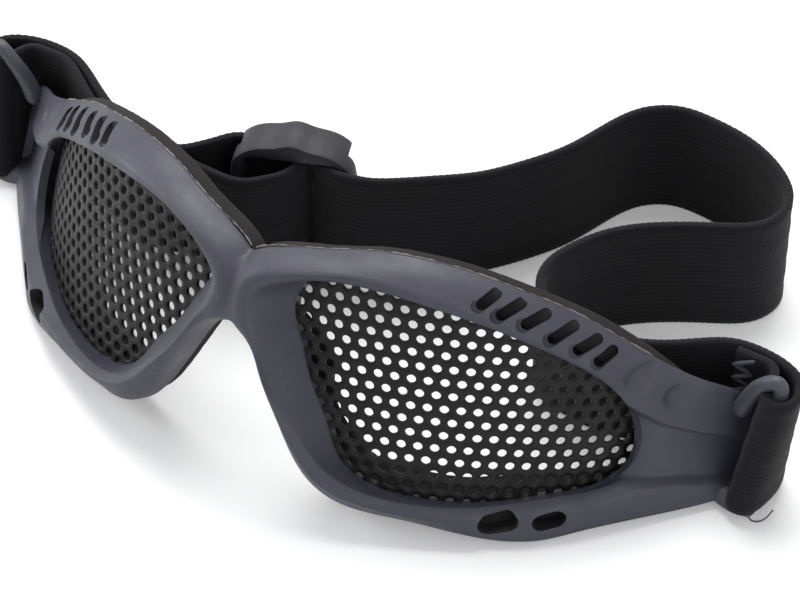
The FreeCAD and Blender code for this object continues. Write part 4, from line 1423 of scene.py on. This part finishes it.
@dataclass
class Webbing:
    """The whole elastic strap, one ribbon from sewn end to sewn end."""

    width: float = 25.0
    thick: float = 1.5
    lift: float = 2.2
    pitch: float = 0.4
    run_size: tuple = (82.0, 94.0)
    # Lower and upper end of a lug's bar, and the size of the loop round it.
    bar_low: tuple = (83.6, 27.6)
    bar_high: tuple = (86.4, 32.6)
    bar_radius: float = 1.4
    loop_end: float = 74.5
    # Place and turn of the adjuster's axis.
    axis: tuple = (-21.0, 40.0)
    turn: float = math.radians(22.5)
    ribs: float = 12.0
    rib_height: float = 0.10
    edge_wave: float = 0.08
    edge_pitch: float = 1.25
    # The band passes in front of the right end bar, dives to a narrow fold at the middle
    # and comes out again in front of the left one.
    through: tuple = (
        (16.4, -5.6), (12.6, -5.5), (9.0, -4.9), (6.0, -3.2), (4.2, -1.2), (3.1, -0.15),
        (2.0, -1.2), (1.0, -3.9), (-1.2, -6.9), (-4.6, -8.9), (-9.4, -10.1))
    # The return layer goes round the rear bar and back under itself.
    fold: tuple = (
        (-12.0, 2.55), (-8.16, 2.85), (-4.8, 4.15), (-2.1, 5.15), (2.1, 5.15), (6.9, 5.15),
        (8.88, 3.0), (6.9, 1.0), (2.1, 0.8), (-2.1, 0.72), (-10.08, 0.75))

    def loop(self, side: float) -> tuple[Array, Array]:
        """Low and high edge of the loop round a lug's bar, outer leg first.

        Args:
            side: 1 at the left lug, -1 at the right one.

        Returns:
            Two arrays (n, 3).
        """
        low = np.array([
            (self.bar_low[0] + self.bar_radius * a, self.bar_low[1] + self.bar_radius * b,
             self.lift) for a, b in LOOP_LOW])
        high = np.array([
            (self.bar_high[0] + self.bar_radius * a, self.bar_high[1] + self.bar_radius * b,
             self.lift + self.width) for a, b in LOOP_HIGH])
        for edge in (low, high):
            edge[[0, -1], 0] = self.loop_end
            edge[:, 0] *= side
        return low, high

    def upright(self, low: Array) -> tuple[Array, Array]:
        """A low edge and the high edge straight above it."""
        return low, low + (0.0, 0.0, self.width)

    def run(self, shares: Sequence) -> tuple[Array, Array]:
        """Low and high edge of a run given as shares."""
        return self.upright(np.array(shares) * (*self.run_size, self.lift))

    def at_slider(self, spots: Sequence) -> tuple[Array, Array]:
        """Low and high edge through points given along and off the adjuster's axis.

        Args:
            spots: Pairs of places along and off the axis.

        Returns:
            Two arrays (n, 3).
        """
        along, off = np.array(spots, float).T
        x = self.axis[0] + along * math.cos(self.turn) - off * math.sin(self.turn)
        y = self.axis[1] + along * math.sin(self.turn) + off * math.cos(self.turn)
        return self.upright(np.stack([x, y, np.full_like(x, self.lift)], -1))

    def path(self) -> tuple[Array, Array, tuple[int, ...]]:
        """The whole strap's course.

        Returns:
            Low edge, high edge, and the knots at which the strap is free of a lug.
        """
        parts = [
            [edge[::-1] for edge in self.loop(1.0)], self.run(RIGHT_RUN),
            self.at_slider(self.through), self.run(LEFT_RUN),
            [edge[::-1] for edge in self.loop(-1.0)], self.run(RETURN_RUN),
            self.at_slider(self.fold)]
        low = np.vstack([p[0] for p in parts])
        high = np.vstack([p[1] for p in parts])
        sizes = np.cumsum([len(p[0]) for p in parts])
        return low, high, (sizes[0] + 2, sizes[3] - 3, sizes[4] + 2)

    def sampled(self) -> tuple[Array, Array, Array, list[int]]:
        """Course of the strap in even steps.

        A spline whose knots are apart by the root of the points' distance is sampled
        finely, and then again where its middle line has gone a whole number of steps.

        Returns:
            Low edge, high edge, distance along the strap, and the marks' sample numbers.
        """
        low, high, marks = self.path()
        spacing = np.linalg.norm(np.diff(low, axis=0), axis=1)
        spacing += np.linalg.norm(np.diff(high, axis=0), axis=1)
        knots = np.concatenate([[0.0], np.cumsum(np.sqrt(spacing / 2.0))])
        dense = np.linspace(0.0, knots[-1], 12000)
        both = spline(np.hstack([low, high]), 0, knots=knots, spots=dense)
        travel = travel_along((both[:, :3] + both[:, 3:]) / 2.0)
        even = np.linspace(0.0, travel[-1], int(travel[-1] / self.pitch))
        spots = np.interp(even, travel, dense)
        both = spline(np.hstack([low, high]), 0, knots=knots, spots=spots)
        cuts = [int(np.searchsorted(spots, knots[m])) for m in marks]
        return both[:, :3], both[:, 3:], even, cuts

    def ribbon(self, low: Array, high: Array, even: Array) -> tuple[Array, Array]:
        """Grid of the ribbon's skin.

        The section is a flat bar with rounded edges: across runs from 0 to 1 up one
        face and back down the other, off is the half thickness, thinner at the edges.
        The edges wave a little along the strap.

        Args:
            low: Array (n, 3) along the low edge.
            high: Array (n, 3) along the high edge.
            even: Distance along the strap at each sample.

        Returns:
            Array (n, m, 3) of points and the distance round the section.
        """
        up = np.linspace(0.015, 0.985, 17)
        half = self.thick / 2.0
        edge = np.array([0.004, 0.0, 0.004])
        across = np.concatenate([up, 1.0 - edge, up[::-1], edge])
        body = half * (1.0 + self.rib_height * np.cos(up * math.pi * 2.0 * self.ribs))
        body = np.minimum(body, half * 1.06)
        rim = np.array([0.6, 0.0, -0.6]) * half
        off = np.concatenate([body, rim, -body[::-1], -rim])
        ahead = np.gradient((low + high) / 2.0, axis=0)
        side = unit(np.stack([-ahead[:, 1], ahead[:, 0], np.zeros(len(ahead))], -1))
        wave = self.edge_wave * np.sin(even * 2.0 * math.pi / self.edge_pitch) / self.width
        wave = wave[:, None] * smooth_step(0.9, 1.0, np.abs(2.0 * across - 1.0))
        share = across[None] + np.where(across[None] > 0.5, wave, -wave)
        share = np.clip(share, 0.0, 1.0)[..., None]
        points = low[:, None] * (1.0 - share) + high[:, None] * share
        points = points + side[:, None] * off[None, :, None]
        gaps = np.hypot(np.diff(across) * self.width, np.diff(off))
        return points, np.concatenate([[0.0], np.cumsum(gaps)])

    def piece(self, name: str, low: Array, high: Array, even: Array) -> Piece:
        """Object of one length of the strap, with its weave map.

        Args:
            name: Name of the piece.
            low: Array (n, 3) along the low edge.
            high: Array (n, 3) along the high edge.
            even: Distance along the strap at each sample.

        Returns:
            The object.
        """
        grid, around_section = self.ribbon(low, high, even)
        rows, columns = grid.shape[:2]
        body = Shell()
        body.grid(grid, close_rows=False)
        body.faces.append(tuple(range(columns)))
        body.faces.append(tuple(range(rows * columns - 1, (rows - 1) * columns - 1, -1)))
        data = body.mesh(name, mend=False)
        layer = data.uv_layers.new(name="weave")
        index = np.empty(len(data.loops), int)
        data.loops.foreach_get("vertex_index", index)
        table = np.stack([even[index // columns], around_section[index % columns]], -1)
        layer.data.foreach_set("uv", table.ravel())
        work = bmesh.new()
        work.from_mesh(data)
        bmesh.ops.recalc_face_normals(work, faces=work.faces)
        work.to_mesh(data)
        work.free()
        shift_mesh(data)
        thing = add_object(name, data, Finish.WEBBING.material(), 60.0)
        return thing

    def build(self) -> list[Piece]:
        """Build the four lengths of the strap and bind the main and return runs to the strap's
        body.

        Returns:
            The pieces that were built.
        """
        low, high, even, cuts = self.sampled()
        first, second, third = cuts
        spans = {
            "strap_left_end": (0, first + 1, "strap_loop_left"),
            "strap_main_run": (first, second + 1, "strap_band"),
            "strap_right_end": (second, third + 1, "strap_loop_right"),
            "strap_return_run": (third, len(even), "strap_return"),
        }
        made = []
        for name, (start, stop, node) in spans.items():
            thing = self.piece(name, low[start:stop], high[start:stop], even[start:stop])
            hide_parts(node)
            made.append(thing)
        for thing, side in zip((made[0], made[2]), SIDES):
            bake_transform(thing)
        for thing in (made[1], made[3]):
            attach(thing, "strap")
        return made


# Stitches


@dataclass
class Stitches:
    """Zigzag rows of thread that hold the sewn layers, and a loose thread."""

    radius: float = 0.42
    turns: int = 7
    loop_ends: tuple = ((77.4, 37.3, 4.2), (76.6, 36.8, 26.6))
    loop_swing: tuple = (1.7, 0.35, 0.0)
    # Place of the return row along and off the adjuster's axis, its heights and swing.
    fold_place: tuple = (7.6, 1.75)
    fold_heights: tuple = (4.4, 25.0)
    fold_swing: float = 1.4
    loose_radius: float = 0.14
    loose_path: tuple = (
        (84.2, 28.2, 0.8), (85.4, 26.6, 0.35), (86.8, 26.4, 0.3), (88.0, 27.6, 0.6),
        (88.6, 29.4, 1.6))

    def row(self, low: Array, high: Array, swing: Array) -> Shell:
        """Zigzag thread between two points, a triangle wave about the straight line.

        Args:
            low: Lower end.
            high: Upper end.
            swing: Sideways reach of each stitch.

        Returns:
            Shell of the thread.
        """
        low, high = np.array(low, float), np.array(high, float)
        steps = np.linspace(0.0, 1.0, self.turns * 6 + 1)
        wave = 2.0 * np.abs((steps * self.turns) % 1.0 * 2.0 - 1.0) - 1.0
        path = low + steps[:, None] * (high - low) + wave[:, None] * np.array(swing)
        body = Shell()
        body.tube(path, self.radius, 7, (0.1, 1.0, 0.05))
        return body

    def build(self) -> list[Piece]:
        """Build the stitches of the loop and of the return, and the loose thread.

        Returns:
            The pieces that were built.
        """
        turn, axis = Webbing.turn, Webbing.axis
        ahead = np.array([math.cos(turn), math.sin(turn), 0.0])
        off = np.array([-math.sin(turn), math.cos(turn), 0.0])
        base = np.array([*axis, 0.0]) - ahead * self.fold_place[0] + off * self.fold_place[1]
        low, high = (base + (0.0, 0.0, height) for height in self.fold_heights)
        loose = Shell()
        loose.tube(spline(self.loose_path, 40), self.loose_radius, 6)
        made = []
        for name, shell, node, body in (
            ("loop_stitches", self.row(*self.loop_ends, self.loop_swing), "loop_tack_left",
             "goggles"),
            ("return_stitches", self.row(low, high, ahead * self.fold_swing), "return_tack",
             "strap"),
            ("loose_thread", loose, None, "goggles"),
        ):
            data = shell.mesh(name)
            shift_mesh(data)
            thing = add_object(name, data, Finish.THREAD.material())
            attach(thing, body)
            if node:
                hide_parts(node)
            made.append(thing)
        return made


# Adjuster


@dataclass
class Adjuster:
    """Sliding adjuster: a domed frame with end bars in front and a bar behind."""

    length: float = 24.0
    depth: float = 8.2
    height: float = 30.0
    dome: float = 1.2
    dome_reach: float = 2.8
    shoulder: float = 0.9
    corner_power: float = 0.4
    # Insets and depths of the rings that round the front and back edges.
    rounding: tuple = ((0.9, 0.0), (0.25, 0.25), (0.0, 0.9))
    window_half: float = 9.4
    opening_z: tuple = (2.0, 27.6)
    front_wall: float = 3.7
    bar_inset: float = 1.2
    bar_radius: float = 1.05
    bar_squeeze: float = 1.9
    bar_z: tuple = (1.2, 28.4)

    def outline(self, grow: float = 0.0) -> Array:
        """Front outline: rounded corners, sloping shoulders and a hump on top.

        The outline is a superellipse walked in even steps; the hump is a bell curve over
        its middle and the shoulders fall towards the ends.

        Args:
            grow: Distance by which the outline grows on every side.

        Returns:
            Array (120, 2) of points.
        """
        turn = np.linspace(0.0, 2.0 * math.pi, 4001)
        half = self.length / 2.0 + grow
        tall = self.height / 2.0 + grow
        c, s = np.cos(turn), np.sin(turn)
        dense = np.stack([
            half * np.sign(c) * np.abs(c) ** self.corner_power,
            tall * np.sign(s) * np.abs(s) ** self.corner_power], -1)
        travel = travel_along(dense)
        even = np.linspace(0.0, travel[-1], 120, endpoint=False)
        x = np.interp(even, travel, dense[:, 0])
        z = np.interp(even, travel, dense[:, 1])
        top = smooth_step(0.7, 0.95, z / tall)
        z = z + top * self.dome * np.exp(-((x / self.dome_reach) ** 2))
        z = z - top * self.shoulder * smooth_step(0.4, 1.0, np.abs(x) / half)
        return np.stack([x, z + self.height / 2.0], -1)

    def prism(self, name: str, rings: Sequence) -> Mesh:
        """Solid through outline rings.

        Args:
            name: Name of the mesh.
            rings: Outline and depth of each ring.

        Returns:
            The mesh.
        """
        block = np.stack([
            np.stack([o[:, 0], np.full(len(o), y), o[:, 1]], -1) for o, y in rings])
        size = block.shape[1]
        body = Shell()
        body.grid(block, close_rows=False)
        body.faces.append(tuple(range(size)))
        body.faces.append(tuple(range(body.count - size, body.count))[::-1])
        return body.mesh(name)

    def opening(self, name: str, half: float, y0: float, y1: float, radius: float) -> Mesh:
        """Block with rounded corners that is cut out of the adjuster.

        Args:
            name: Name of the mesh.
            half: Half width.
            y0: Depth of its front.
            y1: Depth of its back.
            radius: Radius of its corners.

        Returns:
            The mesh.
        """
        turn = np.linspace(0.0, 2.0 * math.pi, 32, endpoint=False)
        c, s = np.cos(turn), np.sin(turn)
        z0, z1 = self.opening_z
        x = np.sign(c) * (half - radius) + radius * c
        z = (z0 + z1) / 2.0 + np.sign(s) * ((z1 - z0) / 2.0 - radius) + radius * s
        outline = np.stack([x, z], -1)
        return self.prism(name, [(outline, y0), (outline, y1)])

    def build(self) -> list[Piece]:
        """Build, dress and place the adjuster.

        Returns:
            The pieces that were built.
        """
        half = self.depth / 2.0
        front = [(self.outline(-inset), -half + step) for inset, step in self.rounding]
        back = [(self.outline(-inset), half - step) for inset, step in self.rounding[::-1]]
        data = self.prism("adjuster_blank", front + back)
        data = carve(data, self.opening(
            "adjuster_window", self.window_half, -10.0, 10.0, 1.4))
        data = carve(data, self.opening(
            "adjuster_recess", 20.0, -half + self.front_wall, 10.0, 0.6))
        bar = Shell()
        spots = np.array([(0.0, half - self.bar_inset, z) for z in np.linspace(*self.bar_z, 20)])
        bar.tube(spots, self.bar_radius, 14, (0.0, 1.0, 0.0), self.bar_squeeze)
        body = Shell()
        for mesh in (data, bar.mesh("adjuster_bar")):
            body.add(mesh_points(mesh) / METRE, [tuple(p.vertices) for p in mesh.polygons])
        data = body.mesh("strap_slider_look")
        x, y = Webbing.axis
        place = Matrix.Translation((x * METRE, (y + SHIFT) * METRE, 0.0))
        data.transform(place @ Matrix.Rotation(Webbing.turn, 4, "Z"))
        thing = add_object("strap_slider_look", data, Finish.ADJUSTER.material(), 40.0)
        step = thing.modifiers.new("edges", "BEVEL")
        step.width = 0.00025
        step.segments = 2
        step.limit_method = "ANGLE"
        step.angle_limit = math.radians(50.0)
        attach(thing, "slider")
        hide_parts("strap_slider")
        return [thing]


# Stage


def shown_rays(tree: bpy.types.NodeTree) -> Socket:
    """1 for rays that the camera sees, straight, mirrored or through glass, else 0.

    Args:
        tree: Node tree that takes the nodes.

    Returns:
        Socket with the value, the largest of three ray flags.
    """
    rays = tree.nodes.new("ShaderNodeLightPath").outputs
    shown = rays["Is Camera Ray"]
    for name in ("Is Glossy Ray", "Is Transmission Ray"):
        either = tree.nodes.new("ShaderNodeMath")
        either.operation = "MAXIMUM"
        tree.links.new(shown, either.inputs[0])
        tree.links.new(rays[name], either.inputs[1])
        shown = either.outputs[0]
    return shown


@dataclass
class Stage:
    """White floor and background, soft light, and the camera at the photo's angle."""

    floor_half: float = 6.0
    floor_colour: Colour = (0.86, 0.86, 0.86, 1.0)
    floor_glow: float = 0.2
    room_light: float = 0.42
    aim: tuple = (0.0, 0.0, 0.02)
    # Name, place, size and power of each lamp.
    lamps: tuple = (
        ("key", (-0.35, 0.55, 1.35), (1.0, 1.0), 22.0),
        ("side", (-1.2, -0.35, 0.55), (0.7, 0.9), 9.0),
        ("fill", (1.0, -0.45, 0.6), (0.7, 0.7), 3.0),
    )
    camera_place: tuple = (0.2449, -0.3707, 0.4199)
    azimuth: float = math.radians(33.06)
    elevation: float = math.radians(43.36)
    lens: float = 144.0

    def floor(self) -> None:
        """Large white floor, a little brighter to the camera than to the goggles."""
        data = bpy.data.meshes.new("floor")
        size = self.floor_half
        data.from_pydata(
            [(-size, -size, 0), (size, -size, 0), (size, size, 0), (-size, size, 0)], [],
            [(0, 1, 2, 3)])
        g = Graph("floor_white")
        g.set(Base_Color=self.floor_colour, Roughness=0.9, Specular_IOR_Level=0.1)
        g.set(Emission_Color=(1.0, 1.0, 1.0, 1.0))
        g.set(Emission_Strength=g.math("MULTIPLY", shown_rays(g.tree), self.floor_glow))
        add_object("floor", data, g.material)

    def world(self) -> None:
        """White to the camera and its reflections, softer as a light."""
        world = bpy.data.worlds.new("white_room")
        bpy.context.scene.world = world
        world.use_nodes = True
        nodes, links = world.node_tree.nodes, world.node_tree.links
        nodes.clear()
        mix = nodes.new("ShaderNodeMixShader")
        links.new(shown_rays(world.node_tree), mix.inputs[0])
        for slot, colour, strength in (
            (1, (0.97, 0.98, 1.0, 1.0), self.room_light), (2, (1.0, 1.0, 1.0, 1.0), 1.0),
        ):
            light = nodes.new("ShaderNodeBackground")
            light.inputs["Color"].default_value = colour
            light.inputs["Strength"].default_value = strength
            links.new(light.outputs[0], mix.inputs[slot])
        out = nodes.new("ShaderNodeOutputWorld")
        links.new(mix.outputs[0], out.inputs["Surface"])

    def lamp(self, name: str, place: tuple, size: tuple, power: float) -> None:
        """Area light aimed at the goggles.

        Args:
            name: Name of the lamp.
            place: Where it stands, in metres.
            size: Width and height in metres.
            power: Power in watts.
        """
        data = bpy.data.lights.new(name, "AREA")
        data.shape = "RECTANGLE"
        data.size, data.size_y = size
        data.energy = power
        thing = bpy.data.objects.new(name, data)
        bpy.context.scene.collection.objects.link(thing)
        thing.location = place
        aim = Vector(self.aim) - Vector(place)
        thing.rotation_euler = aim.to_track_quat("-Z", "Y").to_euler()

    def camera(self) -> None:
        """Camera with the photo's place, turn and lens."""
        data = bpy.data.cameras.new("camera")
        data.sensor_width = 36.0
        data.lens = self.lens
        data.clip_start, data.clip_end = 0.05, 20.0
        data.dof.use_dof = False
        thing = bpy.data.objects.new("camera", data)
        bpy.context.scene.collection.objects.link(thing)
        right = Vector((math.cos(self.azimuth), math.sin(self.azimuth), 0.0))
        back = Vector((
            math.sin(self.azimuth) * math.cos(self.elevation),
            -math.cos(self.azimuth) * math.cos(self.elevation),
            math.sin(self.elevation)))
        turn = Matrix((right, back.cross(right), back)).transposed().to_4x4()
        turn.translation = Vector(self.camera_place)
        thing.matrix_world = turn
        bpy.context.scene.camera = thing

    def build(self) -> None:
        """Build the stage."""
        self.floor()
        self.world()
        for lamp in self.lamps:
            self.lamp(*lamp)
        self.camera()
        bpy.context.scene.view_settings.view_transform = "Standard"


def main() -> None:
    """Build every piece in order."""
    logging.basicConfig(level=logging.INFO, format="%(message)s")
    for part in (
        FrameMoulding(),
        MeshLens("mesh_lens_left", 1.0, (2.962, 0.351), (1.937, -2.35), (20.93, 30.46)),
        MeshLens("mesh_lens_right", -1.0, (-3.051, -0.381), (-1.135, -2.694), (15.45, 34.51)),
        FoamSeal(),
        Webbing(),
        Stitches(),
        Adjuster(),
    ):
        for thing in part.build():
            LOG.info("%s: %d faces", thing.name, len(thing.data.polygons))
    Stage().build()


if __name__ == "__main__":
    main()
